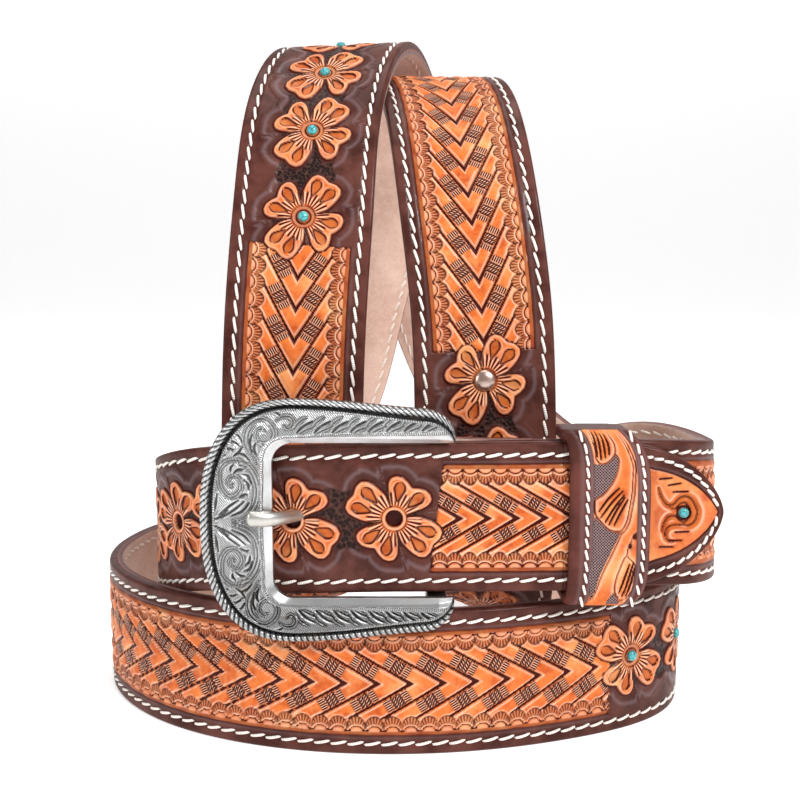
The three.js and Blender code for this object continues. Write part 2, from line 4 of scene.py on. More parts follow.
import bpy
import numpy as np
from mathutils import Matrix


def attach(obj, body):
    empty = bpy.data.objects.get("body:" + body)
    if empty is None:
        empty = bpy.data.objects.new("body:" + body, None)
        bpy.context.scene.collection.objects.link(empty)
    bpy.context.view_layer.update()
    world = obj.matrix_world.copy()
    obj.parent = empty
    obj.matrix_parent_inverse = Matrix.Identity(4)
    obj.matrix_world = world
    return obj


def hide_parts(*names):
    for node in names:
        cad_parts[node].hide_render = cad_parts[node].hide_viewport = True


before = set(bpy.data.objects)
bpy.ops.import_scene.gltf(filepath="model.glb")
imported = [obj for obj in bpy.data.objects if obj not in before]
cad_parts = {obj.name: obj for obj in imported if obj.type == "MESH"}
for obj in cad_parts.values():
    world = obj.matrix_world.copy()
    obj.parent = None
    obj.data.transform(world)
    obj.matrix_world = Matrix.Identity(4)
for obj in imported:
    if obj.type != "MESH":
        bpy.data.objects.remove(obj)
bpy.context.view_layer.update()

MM = 0.001

# Strap
STRAP_HALF = 19.0
OUTER_THICK = 2.45
LINING_TOP = 2.5
STRAP_THICK = 4.0
EDGE_ROUND = 0.8
TIP_LENGTH = 34.0
TIP_BLUNT = 0.7
TIP_POWERS = (2.6, 0.65)
MIDDLE = np.array([0.0, 17.0, 0.0])

# The middle line of the tooled face: place x, y, z and the way it looks, nx, ny, nz
ROUTE = [
    (34, -36.6, 61.5, 0, 1, 0),
    (25, -36.4, 61.5, 0, 1, 0),
    (17, -34.6, 61.5, -0.2, 1, 0),
    (10, -32.7, 61.5, -0.05, 1, 0),
    (5.2, -34.4, 61.5, -0.7, 0.7, 0),
    (3.4, -39, 61.5, -1, 0, 0),
    (5.2, -43.5, 61.5, -0.7, -0.7, 0),
    (10, -45.2, 61.5, -0.05, -1, 0),
    (24, -45.2, 61.7, 0, -1, 0),
    (42, -45.2, 62, 0, -1, 0),
    (64, -45.2, 62, 0.03, -1, 0),
    (79.5, -37, 60.5, 0.62, -0.78, 0.03),
    (88, -16, 58.4, 1, -0.05, 0.04),
    (84.5, 2, 58.6, 0.93, 0.36, 0),
    (75, 17.5, 57.6, 0.68, 0.73, 0),
    (59, 30, 53.5, 0.58, 0.81, 0),
    (43.5, 43, 61.5, 0.64, 0.76, -0.12),
    (32, 61, 73, 0.66, 0.73, -0.2),
    (24, 78, 89, 0.42, 0.88, -0.2),
    (15, 90.5, 111, 0.12, 0.98, -0.1),
    (7, 88, 139, 0.03, 0.97, 0.2),
    (-2, 71, 172, 0.02, 0.78, 0.62),
    (-11, 43, 192, -0.04, 0.28, 0.96),
    (-18.5, 15, 190, -0.05, -0.42, 0.9),
    (-24, -6, 171, -0.02, -0.8, 0.6),
    (-26, -20, 144, 0, -0.97, 0.25),
    (-28, -27, 112, 0, -1, 0.1),
    (-29, -30, 80, 0, -1, 0.08),
    (-29, -29, 52, 0.05, -0.97, -0.25),
    (-29, -14, 28, 0.25, -0.6, -0.75),
    (-30, 10, 19, 0.75, -0.1, -0.65),
    (-34, 34, 19.2, 0.95, 0.3, -0.2),
    (-48, 54, 19.1, 0.4, 0.9, 0),
    (-70, 55, 19, -0.4, 0.9, 0),
    (-88, 28, 19, -0.97, 0.25, 0),
    (-87, -3, 19, -0.98, -0.15, 0),
    (-72, -26, 19, -0.6, -0.8, 0),
    (-38, -45.6, 19, -0.25, -1, 0),
    (5, -50.6, 19, 0.05, -1, 0),
    (47, -41.5, 19, 0.38, -0.92, 0),
    (77, -21.5, 19, 0.82, -0.55, 0),
    (84, 8, 19, 0.99, 0, 0),
    (80, 36, 19, 0.93, 0.4, 0),
    (66, 54, 19, 0.4, 0.9, 0),
    (45, 53, 19.1, -0.4, 0.9, 0),
    (30, 34, 19.2, -0.95, 0.3, -0.2),
    (25, 10, 19, -0.75, -0.1, -0.65),
    (24, -14, 28, -0.25, -0.6, -0.75),
    (23.5, -29, 52, -0.05, -0.97, -0.25),
    (23, -30, 80, 0, -1, 0.08),
    (22, -26, 112, 0, -1, 0.15),
    (19, -20, 140, 0, -0.94, 0.3),
    (16, -8, 163.5, 0, -0.8, 0.6),
    (12.5, 10, 179, 0, -0.45, 0.9),
    (6.5, 34, 183, 0, 0.25, 0.97),
    (-1.5, 57, 169, 0, 0.75, 0.65),
    (-9, 72, 142, 0, 0.96, 0.28),
    (-17, 76, 114, -0.05, 1, 0),
    (-23, 71, 90, -0.25, 0.95, -0.15),
    (-31, 60, 72, -0.55, 0.8, -0.2),
    (-42, 47, 62, -0.68, 0.72, -0.12),
    (-56, 33, 48.5, -0.7, 0.71, -0.02),
    (-68, 17, 46, -0.92, 0.4, 0),
    (-71.5, -3, 49, -1, -0.05, 0.02),
    (-67, -20, 53, -0.88, -0.48, 0),
    (-54, -36.2, 58.2, -0.65, -0.75, 0),
    (-32, -47.5, 60.8, -0.22, -1, 0),
    (-8, -50, 61.8, 0, -1, 0),
    (20, -50, 62, 0, -1, 0),
    (52, -50, 62.5, 0, -1, 0),
    (81, -50, 63.8, 0, -1, 0),
]


def natural_spline(knots, values):
    """A natural cubic spline through the rows of values."""
    n = len(knots)
    upper = np.zeros(n)
    right = np.zeros_like(values)
    for i in range(1, n - 1):
        before = knots[i] - knots[i - 1]
        after = knots[i + 1] - knots[i]
        slopes = (values[i + 1] - values[i]) / after - (values[i] - values[i - 1]) / before
        pivot = 2 * (before + after) - before * upper[i - 1]
        upper[i] = after / pivot
        right[i] = (6 * slopes - before * right[i - 1]) / pivot
    bend = np.zeros_like(values)
    for i in range(n - 2, 0, -1):
        bend[i] = right[i] - upper[i] * bend[i + 1]

    def at(t):
        i = np.clip(np.searchsorted(knots, t) - 1, 0, n - 2)
        span = (knots[i + 1] - knots[i])[:, None]
        a = (knots[i + 1] - t)[:, None]
        b = (t - knots[i])[:, None]
        cubic = (bend[i] * a**3 + bend[i + 1] * b**3) / (6 * span)
        line = (values[i] / span - bend[i] * span / 6) * a
        return cubic + line + (values[i + 1] / span - bend[i + 1] * span / 6) * b

    return at


def unit(rows):
    return rows / np.linalg.norm(rows, axis=-1, keepdims=True)


def running_length(points):
    """How far along the points each one lies."""
    return np.concatenate([[0], np.cumsum(np.linalg.norm(np.diff(points, axis=0), axis=1))])


class Route:
    """A path with a place, a direction, a face and a width axis at every distance along it."""

    def __init__(self, rows, fine=0.5):
        rows = np.array(rows, float)
        places = rows[:, :3] - MIDDLE
        faces = unit(rows[:, 3:])
        knots = running_length(places)
        t = np.linspace(0, knots[-1], round(knots[-1] / fine) + 1)
        self.at = natural_spline(knots, places)(t)
        self.run = running_length(self.at)
        self.length = self.run[-1]
        ahead = np.concatenate([self.at[1:], self.at[-1:]])
        behind = np.concatenate([self.at[:1], self.at[:-1]])
        along = unit(ahead - behind)
        face = natural_spline(knots, faces)(t)
        face = unit(face - along * np.sum(face * along, axis=1, keepdims=True))
        self.face = face
        self.across = np.cross(face, along)

    def pick(self, table, u):
        flat = np.ravel(u)
        columns = [np.interp(flat, self.run, table[:, c]) for c in range(3)]
        return np.stack(columns, axis=-1).reshape(np.shape(u) + (3,))

    def surface(self, u, v, h):
        """Points at u along, v across and h over the tooled face."""
        u, v, h = np.broadcast_arrays(u, v, h)
        across = unit(self.pick(self.across, u))
        face = unit(self.pick(self.face, u))
        return self.pick(self.at, u) + across * v[..., None] + face * h[..., None]


strap = Route(ROUTE)


def half_width(u):
    """Half of the strap's width, narrowing to a blunt point at its far end."""
    rest = np.clip(1 - (strap.length - u) / TIP_LENGTH, 0, 1)
    along, over = TIP_POWERS
    return TIP_BLUNT + (STRAP_HALF - TIP_BLUNT) * (1 - rest**along) ** over


def smooth(low, high, x):
    t = np.clip((x - low) / (high - low), 0, 1)
    return t * t * (3 - 2 * t)


def bump(x, width):
    return np.exp(-((x / width) ** 2))


def window(x, low, high, soft):
    return smooth(low - soft, low + soft, x) * (1 - smooth(high - soft, high + soft, x))


# Tooling
PANEL_HALF = 13.8
BORDER = STRAP_HALF - PANEL_HALF
TIP_BORDER = 2.0
SCALLOP_LINE = 12.6
LEAN = math.radians(30.5)
SIN, COS = math.sin(LEAN), math.cos(LEAN)
LINES_END = 9.4
# Where the three stamps of a band start and end, in pitches back from the point ahead
STAMPS = (1.07, 1.30, 1.64, 1.90)
FINE_STROKE = 0.6
STRONG_STROKE = 0.74
STROKE_TURN = 0.6
MOON_LIFT = 0.7
SHELL_SIDE, SHELL_END = 1.7, 4.0
RAYS = 14
STITCH_IN, TIP_STITCH_IN = 3.0, 1.5
STITCH_PITCH = 4.4
TIP_PITCH = 2.7
STITCH_SHARE = 0.52
FIRST_STITCH = 1.27
ROWS_END = 0.9
THREAD_WIDE, THREAD_HIGH = 0.4, 0.34
LENGTH = strap.length
POINT_LENGTH = 40
TIP_START = LENGTH - POINT_LENGTH
TIP_PANEL = LENGTH - 36
POINT_END = LENGTH - 0.02

# Stretches of weave by distance from the tip: where each ends, which way it points, its pitch and one of
# its points, and the pitch of the scallops and the middle of one of them
WEAVES = [
    {"to": 300, "way": 1, "pitch": 7.15, "point": 66.0, "scallop": 3.77, "moon": 67.3},
    {"to": 660, "way": -1, "pitch": 8.1, "point": 457.0, "scallop": 4.15, "moon": 457.0},
    {"to": 1000, "way": 1, "pitch": 8.5, "point": 857.3, "scallop": 4.68, "moon": 857.3},
    {"to": 1800, "way": 1, "pitch": 8.5, "point": 1228.1, "scallop": 4.45, "moon": 1230.9},
]

# Runs of flowers by distance from the tip: where each starts and ends, how far its end leans, which way
# it points, its sort, and its centres with their places across
FLOWER_RUNS = [
    {"start": 1329.3, "end": 1237.4, "lean": 0, "way": 1, "sort": "stone",
     "centres": [(1318.5, -1.5), (1294.5, 0.5), (1271.5, 0.7), (1245.1, 0.3)]},
    {"start": 802, "end": 713.4, "lean": 0, "way": 1, "sort": "stone",
     "centres": [(794.5, 1.2), (770, 1.2), (745.6, 1.2), (721, 1.2)]},
    {"start": 605.6, "end": 516.0, "lean": 0, "way": -1, "sort": "stone",
     "centres": [(597.6, 0), (573.1, 0), (548.6, 0), (524, 0)]},
    {"start": 179.1, "end": 71.9, "lean": 0.12, "way": 1, "sort": "hole",
     "centres": [(166.5, 0), (147, 0), (127, 0), (108.3, 0), (82.5, 0)]},
]

# A petal's reach from the flower's middle, by degrees from the petal's own axis
LONG_PETAL = (
    (0, 12.0), (10, 12.7), (18, 12.7), (24, 11.8), (30, 9.8), (35, 7.9), (39, 6.5), (42, 4.8), (43.5, 3.2)
)
WIDE_PETAL = (
    (0, 9.2), (10, 10.2), (18, 10.9), (26, 11.1), (33, 10.7), (38, 9.6), (41, 7.6), (43, 5.0), (44, 3.2)
)
# Each petal: its axis in degrees, its reach, and its two cups' angle off the axis and distance out
PETALS = (
    (60, WIDE_PETAL, 19.0, 7.7),
    (148, LONG_PETAL, 13.5, 9.2),
    (236, WIDE_PETAL, 19.0, 7.7),
    (326, LONG_PETAL, 13.5, 9.2),
)
CUP_WIDE, CUP_HEAD, CUP_TAIL = 1.5, 2.0, 3.4
DISC = 3.1
HOLE = 2.1
HALO = 2.3
FLOWER_SPAN = 16


def petal_outline():
    rows = []
    for axis, reach, _, _ in PETALS:
        for off, r in reach:
            rows.append(((axis + off) % 360, r))
            rows.append(((axis - off) % 360, r))
    rows = sorted(set(rows))
    return np.array([a for a, _ in rows]), np.array([r for _, r in rows])


OUTLINE_ANGLES, OUTLINE_REACH = petal_outline()


class Fields(dict):
    """Arrays that describe a patch of tooled leather, each also read and set as an attribute."""

    __getattr__ = dict.__getitem__
    __setattr__ = dict.__setitem__


FIELDS = ("height", "dye", "shade", "rub", "phase", "bars", "gloss", "pebble")


def blank(u):
    return Fields({name: np.zeros(np.shape(u)) for name in FIELDS})


def clip_fields(out, names):
    for name in names:
        out[name] = np.clip(out[name], 0, 1)


def weave_at(u):
    """The row of WEAVES that holds at each u, as one array for every column."""
    index = np.searchsorted([row["to"] for row in WEAVES], LENGTH - u)
    index = np.minimum(index, len(WEAVES) - 1)
    return {key: np.array([row[key] for row in WEAVES])[index] for key in WEAVES[0]}


def basket(out, u, a, weave):
    """Basket weave with its points facing one way, mirrored about a = 0."""
    pitch = weave["pitch"]
    band = pitch * SIN
    p = weave["way"] * (u - LENGTH + weave["point"])
    t = (p + a * COS / SIN) / pitch
    step = np.floor(t)
    n = (1 - (t - step)) * band
    near = np.minimum(n, band - n)
    run = (step + 1) * pitch * COS - p * COS + a * SIN
    first, second, third, fourth = (s * pitch for s in STAMPS)
    ends = 1 - smooth(LINES_END - 0.25, LINES_END + 0.25, a)
    thick = 0.3 + 0.17 * bump(a, 1.8)
    line = (1 - smooth(thick * 0.7, thick * 1.35, near)) * ends
    edge_highlight = bump(near - 0.72, 0.17) * ends
    inner, middle, outer = (window(run, lo, hi, 0.12) for lo, hi in
                            ((first, second), (second, third), (third, fourth)))
    body = smooth(0.42, 0.62, near) * ends
    fine = (inner + outer) * body
    splits = (bump(run - second - 0.2, 0.2) + bump(run - third + 0.2, 0.2)) * body
    beads = (bump(run - second + 0.24, 0.15) + bump(run - third - 0.24, 0.15)) * body
    shield = smooth(0.2, 1.7, near) * (1 - smooth(first - 0.9, first, run))
    flank = smooth(fourth, fourth + 1.0, run) * smooth(0.2, 1.5, near)
    halfway = (second + third) / 2
    rope = sum(bump(run - (side + halfway) / 2, 0.55) for side in (second, third)) * middle * body
    out.height += 0.34 * shield + 0.3 * flank + 0.14 * rope - 0.06 * fine - 0.55 * line - 0.25 * splits
    out.dye += 1.0
    out.shade += line + 0.75 * fine + 0.9 * middle * body + 0.5 * splits
    out.shade *= 1 - 0.9 * beads
    # Painted highlight along the edges of the bands, and pale beads
    out.rub += 0.9 * edge_highlight * (1 - fine - middle * body) + 0.85 * beads
    strong = (n + STROKE_TURN * (run - second)) / STRONG_STROKE + 0.5 * (run > halfway)
    out.phase += np.where(middle > 0.5, strong, n / FINE_STROKE + 0.25)
    row_gap = 1 - 0.9 * bump(run - halfway, 0.16)
    bars = np.where(middle > 0.5, middle * row_gap, inner + outer) * body
    out.bars += bars * (1 - np.clip(splits + beads, 0, 1))


def scallops(out, u, a, weave):
    """A row of small ribbed shells along the panel's edge."""
    pitch = weave["scallop"]
    x = np.mod(u - LENGTH + weave["moon"] + pitch / 2, pitch) - pitch / 2
    y = SCALLOP_LINE - a
    half = 0.475 * pitch
    r = np.hypot(x, y + MOON_LIFT)
    sides = 1 - np.abs(x) / half
    bowl = 1 - np.hypot(x / half, (y - SHELL_SIDE) / (SHELL_END - SHELL_SIDE))
    depth = np.where(y < SHELL_SIDE, sides, bowl) * half
    shell = smooth(-0.05, 0.15, depth) * (y > 0)
    moon = (1 - smooth(1.55, 1.75, r)) * (y > 0)
    dark = bump(r - 1.95, 0.2) * shell
    light = bump(r - 2.35, 0.19) * shell
    fan = shell * smooth(2.45, 2.7, r)
    out.height *= 1 - shell
    for name in ("shade", "bars", "rub"):
        out[name] *= 1 - shell
    out.height += 0.26 * moon - 0.42 * dark + 0.08 * light - fan * (0.1 + 0.2 * smooth(2.4, 4.4, r))
    out.shade += 0.95 * dark + fan * (0.2 + 0.24 * smooth(2.6, 4.2, r)) + 0.6 * bump(depth, 0.2) * (y > 0)
    # Paler moons, and painted highlights on the ridge round each moon and along the shells' outlines
    out.rub += 0.4 * moon + 0.95 * light + 0.6 * bump(depth + 0.34, 0.17) * (y > 0.8) * (1 - shell)
    out.dye *= 1 - 0.22 * fan
    out.phase = np.where(fan > 0.3, np.arctan2(x, y + MOON_LIFT) * RAYS / math.pi, out.phase)
    out.bars += 0.62 * fan
    strip = smooth(SCALLOP_LINE - 0.1, SCALLOP_LINE + 0.15, a)
    out.height -= 0.12 * strip
    out.dye *= 1 - 0.45 * strip
    out.shade += 0.2 * strip + 0.35 * bump(a - SCALLOP_LINE, 0.16)


def petal_cups(rho, angle):
    """The cups pressed into the petals: how deep, and how near to a cup's rim."""
    cup = np.zeros(np.shape(rho))
    rim = np.zeros(np.shape(rho))
    lip = np.zeros(np.shape(rho))
    for axis, _, off, out_to in PETALS:
        for side in (-1, 1):
            turn = np.radians(angle - axis - side * off)
            ahead = rho * np.cos(turn) - out_to
            beside = np.abs(rho * np.sin(turn))
            head = np.sqrt(np.clip(1 - (ahead / CUP_HEAD) ** 2, 0, 1))
            tail = np.clip(1 + ahead / CUP_TAIL, 0, 1) ** 0.7
            width = CUP_WIDE * np.where(ahead > 0, head, tail)
            within = (width > 0.05) & (np.cos(turn) > 0)
            gap = np.where(within, width - beside, -9.0)
            cup = np.maximum(cup, smooth(0.0, 0.55, gap))
            rim = np.maximum(rim, bump(gap - 0.08, 0.25))
            lip = np.maximum(lip, bump(gap + 0.42, 0.24))
    return cup, rim, lip


def flower(x, y, hole):
    """One four-petalled flower: fields, and the distance inside its outline."""
    rho = np.hypot(x, y)
    angle = np.degrees(np.arctan2(y, x)) % 360
    reach = np.interp(angle, OUTLINE_ANGLES, OUTLINE_REACH, period=360)
    nearby = [np.interp(angle + d, OUTLINE_ANGLES, OUTLINE_REACH, period=360) for d in (-2, 2)]
    slope = (nearby[1] - nearby[0]) / math.radians(4)
    inside = (reach - rho) / np.sqrt(1 + (slope / np.maximum(rho, 2)) ** 2)
    around = [np.interp(angle + d, OUTLINE_ANGLES, OUTLINE_REACH, period=360) for d in (-14, -7, 7, 14)]
    inside = np.minimum(inside, np.max(around + [reach], axis=0) - rho)
    out = blank(x)
    petal = smooth(-0.08, 0.4, inside)
    cup, rim, lip = petal_cups(rho, angle)
    cup, rim, lip = cup * petal, rim * petal, lip * petal
    out.height += 0.66 * petal - 0.36 - 0.5 * cup + 0.1 * lip
    out.height -= 0.26 * (1 - smooth(DISC, 6.0, rho)) * petal
    out.dye += petal
    out.shade += 1.0 * bump(inside + 0.12, 0.34) + 0.9 * rim + 0.46 * cup
    # Painted highlight just inside the petals' outlines and on the cups' lips
    out.rub += 0.5 * bump(inside - 0.6, 0.3) + 0.45 * lip * (1 - cup)
    slits = window(rho, DISC + 0.4, 7.0, 0.35) * petal * (1 - cup) * (1 - rim)
    out.phase += angle / 11
    out.bars += 1.0 * slits
    disc = 1 - smooth(DISC - 0.15, DISC + 0.15, rho)
    ring = bump(rho - DISC - 0.1, 0.2)
    for name in ("height", "dye", "shade", "rub", "bars"):
        out[name] *= 1 - disc
    out.shade += 0.85 * ring
    if hole:
        pit = 1 - smooth(HOLE - 0.12, HOLE + 0.12, rho)
        out.height += (-0.12 * disc + 0.12 * bump(rho - 2.6, 0.35)) * (1 - pit) - 1.9 * pit
        out.dye += disc
        out.rub += 0.7 * bump(rho - 2.55, 0.3) * disc
        # The hole is a pit painted near black, as painted shade where the hole goes through
        out.shade = out.shade * (1 - pit) + 0.97 * pit + 0.5 * bump(rho - HOLE - 0.15, 0.16) * disc
    else:
        out.height -= 0.34 * disc + 0.2 * bump(rho - 1.95, 0.25)
        out.dye += 0.72 * disc
        out.shade += 0.95 * bump(rho - 1.95, 0.24) + 0.12 * disc
        # Painted highlight on a ring round the stone's disc
        out.rub += 0.3 * bump(rho - 2.6, 0.25)
    # Painted sheen along the bevel round the petals
    out.gloss += 0.8 * bump(inside + HALO, 0.55)
    return out, inside


def flower_run(u, v, run):
    """Dark ground with flowers, and black matting in the corners between them."""
    best = np.full(np.shape(u), -99.0)
    out = blank(u)
    for from_tip, across in run["centres"]:
        x = run["way"] * (u - LENGTH + from_tip)
        y = run["way"] * (v - across)
        fields, inside = flower(x, y, run["sort"] == "hole")
        closer = inside > best
        best = np.where(closer, inside, best)
        for name in out:
            out[name] = np.where(closer, fields[name], out[name])
    recess = 0.42 * (1 + best / HALO) - 0.13 * bump(best + HALO + 0.1, 0.5)
    out.height = np.where(best < 0, -np.maximum(recess, -0.13) * (best > -4), out.height)
    reach = 7.6 + 0.5 * np.sin(u * 0.9)
    matting = (1 - smooth(reach - 0.5, reach + 0.5, np.abs(v))) * (1 - smooth(-0.75, -0.3, best))
    matting *= window(LENGTH - u, run["end"] + 4, run["start"] - 4, 1.5)
    out.pebble = matting
    out.height = out.height * (1 - matting) - 0.4 * matting
    out.gloss *= 1 - matting
    out.dye *= smooth(-0.25, 0.05, best)
    return out, best


def polyline(points, steps=6):
    """A smooth line through the points, as a list of short straight pieces."""
    pts = np.array(points, float)
    if len(pts) < 3:
        return pts
    pad = np.concatenate([[2 * pts[0] - pts[1]], pts, [2 * pts[-1] - pts[-2]]])
    out = []
    for i in range(1, len(pad) - 2):
        a, b, c, d = pad[i - 1 : i + 3]
        for k in range(steps):
            t = k / steps
            out.append(
                0.5 * (2 * b + (c - a) * t + (2 * a - 5 * b + 4 * c - d) * t * t
                       + (3 * b - a - 3 * c + d) * t**3)
            )
    out.append(pts[-1])
    return np.array(out)


def stroke_field(x, y, strokes, width):
    """How deep each point lies in tapered knife strokes: 1 in the middle of one, 0 outside."""
    field = np.zeros(np.shape(x))
    for points in strokes:
        line = polyline(points)
        low, high = line.min(axis=0) - 2 * width, line.max(axis=0) + 2 * width
        near = (x > low[0]) & (x < high[0]) & (y > low[1]) & (y < high[1])
        if not near.any():
            continue
        px, py = x[near], y[near]
        best = np.zeros(px.shape)
        count = len(line) - 1
        for k in range(count):
            (ax, ay), (bx, by) = line[k], line[k + 1]
            dx, dy = bx - ax, by - ay
            t = np.clip(((px - ax) * dx + (py - ay) * dy) / (dx * dx + dy * dy + 1e-9), 0, 1)
            gap = np.hypot(px - ax - t * dx, py - ay - t * dy)
            taper = np.sin(np.clip((k + t + 0.35) / (count + 0.7), 0, 1) * math.pi) ** 0.5
            best = np.maximum(best, bump(gap, width * (0.35 + 0.65 * taper)))
        field[near] = np.maximum(field[near], best)
    return field


def within_outline(x, y, outline):
    """1 inside a closed outline and 0 outside it, for arrays of points."""
    inside = np.zeros(np.shape(x), bool)
    for (ax, ay), (bx, by) in zip(outline, outline[1:] + outline[:1]):
        if ay == by:
            continue
        crosses = (ay > y) != (by > y)
        inside ^= crosses & (x < ax + (y - ay) * (bx - ax) / (by - ay))
    return inside.astype(float)


# Cuts in the panel behind the point: along from the set stone, and across
TIP_CHANNELS = [
    [(-6.25, 6.6), (-5.5, 4.1), (-4.1, 2.2), (-2.5, 2.2), (-1.25, 3.5), (0.3, 4.1), (1.9, 3.5), (2.8, 1.9),
     (3.4, 0.05), (2.8, -2.2), (1.25, -3.3), (-0.6, -3.1), (-2.5, -3.1), (-4.1, -3.7), (-4.7, -5.3),
     (-4.2, -6.8), (-2.8, -7.2)],
    [(-4.1, 2.2), (-2.3, 1.0), (-0.9, 2.2), (0.3, 2.5), (1.1, 1.6), (1.5, -0.3), (0.9, -1.8), (0, -2.5),
     (-0.9, -1.9), (-1.9, -0.9), (-3.75, -0.9), (-5, -2.5), (-5.5, -4.6)],
]
TIP_STROKES = [
    [(-5.9, 8.8), (-2.8, 8.95)],
    [(-3.75, 7.1), (-0.6, 7.5)],
    [(-2.5, 5.35), (1.25, 5.35)],
    [(-2.2, -4.95), (1.25, -4.95)],
    [(-3.75, -7.1), (-0.6, -7.1)],
    [(-6.25, -8.55), (-2.8, -8.7)],
]
TIP_STONE_D, TIP_STONE_V = 10.0, 0.2
TIP_CUT_WIDE, TIP_BLEND_WIDE = 0.42, 1.2


def tip_panel(u, v):
    """The carved panel round the stone behind the point."""
    x, y = u - (LENGTH - TIP_STONE_D), v - TIP_STONE_V
    strokes = stroke_field(x, y, TIP_STROKES, TIP_CUT_WIDE)
    cuts = np.maximum(stroke_field(x, y, TIP_CHANNELS, TIP_CUT_WIDE), strokes)
    blend = stroke_field(x, y, TIP_CHANNELS, TIP_BLEND_WIDE)
    r = np.hypot(x, y)
    seat = 1 - smooth(1.5, 1.8, r)
    around = blend * (1 - cuts)
    return {
        "height": 0.1 - 0.5 * cuts - 0.16 * blend - 0.3 * seat + 0.1 * bump(r - 3.0, 0.5),
        "dye": 1 - 0.18 * around,
        "shade": 0.6 * smooth(0.3, 0.8, cuts) + 0.2 * strokes + 0.5 * around + 0.9 * bump(r - 1.6, 0.3),
        # Painted highlight along the channels' edges
        "rub": 0.7 * bump(blend - 0.22, 0.14) * (1 - cuts),
    }


def tip_border(from_tip):
    """The dark border's width, which narrows towards the point."""
    return TIP_BORDER + (BORDER - TIP_BORDER) * np.clip((from_tip - 1) / 16, 0, 1) ** 0.8


def stitch_inset(from_tip):
    """How far inside the outline the stitches run."""
    return TIP_STITCH_IN + (STITCH_IN - TIP_STITCH_IN) * smooth(4, 24, from_tip)


def tooling(u, v):
    """Every field of the tooled face at u along the strap and v across it."""
    u, v = np.broadcast_arrays(np.asarray(u, float), np.asarray(v, float))
    half = half_width(u)
    lean = (half_width(u + 0.05) - half_width(u - 0.05)) / 0.1
    inset = (half - np.abs(v)) / np.sqrt(1 + lean**2)
    out = blank(u)
    woven = blank(u)
    weave = weave_at(u)
    basket(woven, u, np.abs(v), weave)
    scallops(woven, u, np.abs(v), weave)
    panel = inset > BORDER
    for name in out:
        out[name] = np.where(panel, woven[name], 0.0)
    edge = np.full(np.shape(u), BORDER)
    for run in FLOWER_RUNS:
        d = LENGTH - u
        near = (d < run["start"] + FLOWER_SPAN) & (d > run["end"] - FLOWER_SPAN)
        if not near.any():
            continue
        fields, inside = flower_run(u[near], v[near], run)
        dn = d[near]
        end = run["end"] - run["lean"] * v[near]
        within = (dn < run["start"]) & (dn > end)
        over = within | (inside > -0.2)
        rim = bump(np.minimum(np.abs(dn - run["start"]), np.abs(dn - end)), 0.35)
        rim = rim * (np.abs(v[near]) < PANEL_HALF) * (inside < -0.3)
        for name in out:
            out[name][near] = np.where(over, fields[name], out[name][near])
        out.height[near] -= 0.35 * rim
        out.shade[near] += 0.6 * rim
        edge[near] = np.where(within, -5.0, edge[near])
    tip = u > TIP_PANEL
    if tip.any():
        edge = np.where(tip, tip_border(LENGTH - u), edge)
        carved = tip_panel(u, v)
        bare = smooth(0, 0.3, inset - edge)
        for name in out:
            out[name] = np.where(tip, carved.get(name, 0.0) * bare, out[name])
    groove = bump(inset - edge, 0.26)
    ledge = bump(inset - edge + 0.6, 0.3)
    out.height += -0.34 * groove + 0.08 * ledge
    out.shade += 0.75 * groove
    # Painted sheen along the ledge inside the border
    out.gloss += 0.4 * ledge
    line = stitch_inset(LENGTH - u)
    trough = bump(inset - line, 0.7)
    out.height += -0.24 * trough
    beat = np.mod(u / STITCH_PITCH, 1)
    pit = bump(np.minimum(beat, 1 - beat) * STITCH_PITCH, 0.36) * bump(inset - line, 0.42)
    pit = pit * (u < LENGTH - TIP_LENGTH)
    out.height -= 0.4 * pit
    out.shade += 0.2 * trough + 0.85 * pit
    clip_fields(out, ("shade", "rub", "bars", "gloss", "pebble", "dye"))
    return out


# Meshes
def make_mesh(name, points, quads, ends=(), fields=None, flat_ends=False):
    """A mesh object from millimetre points, four-sided faces, and single many-sided faces."""
    points = np.asarray(points, float).reshape(-1, 3)
    quads = np.asarray(quads, np.int32).reshape(-1, 4)
    loops = np.concatenate([quads.ravel(), *(np.asarray(end, np.int32) for end in ends)])
    totals = np.array([4] * len(quads) + [len(end) for end in ends], np.int32)
    mesh = bpy.data.meshes.new(name)
    mesh.vertices.add(len(points))
    mesh.vertices.foreach_set("co", (points * MM).ravel())
    mesh.loops.add(len(loops))
    mesh.loops.foreach_set("vertex_index", loops)
    mesh.polygons.add(len(totals))
    mesh.polygons.foreach_set("loop_start", (np.cumsum(totals) - totals).astype(np.int32))
    mesh.polygons.foreach_set("loop_total", totals)
    rounded = np.ones(len(totals), bool)
    if flat_ends:
        rounded[len(quads):] = False
    mesh.polygons.foreach_set("use_smooth", rounded)
    for field, values in (fields or {}).items():
        layer = mesh.attributes.new(field, "FLOAT", "POINT")
        layer.data.foreach_set("value", np.asarray(values, np.float32).ravel())
    mesh.update(calc_edges=True)
    mesh.validate()
    obj = bpy.data.objects.new(name, mesh)
    bpy.context.scene.collection.objects.link(obj)
    return obj


def grid_quads(rows, columns, wrap):
    """Faces between neighbouring rows of points; wrap joins the last column to the first."""
    j = np.arange(columns if wrap else columns - 1)
    k = (j + 1) % columns
    i = np.arange(rows - 1)[:, None] * columns
    return np.stack([i + j, i + k, i + k + columns, i + j + columns], axis=-1).reshape(-1, 4)


def finish_piece(obj, material, slot, node=None):
    obj.data.materials.append(material)
    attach(obj, "root")
    if node:
        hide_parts(node)
    return obj


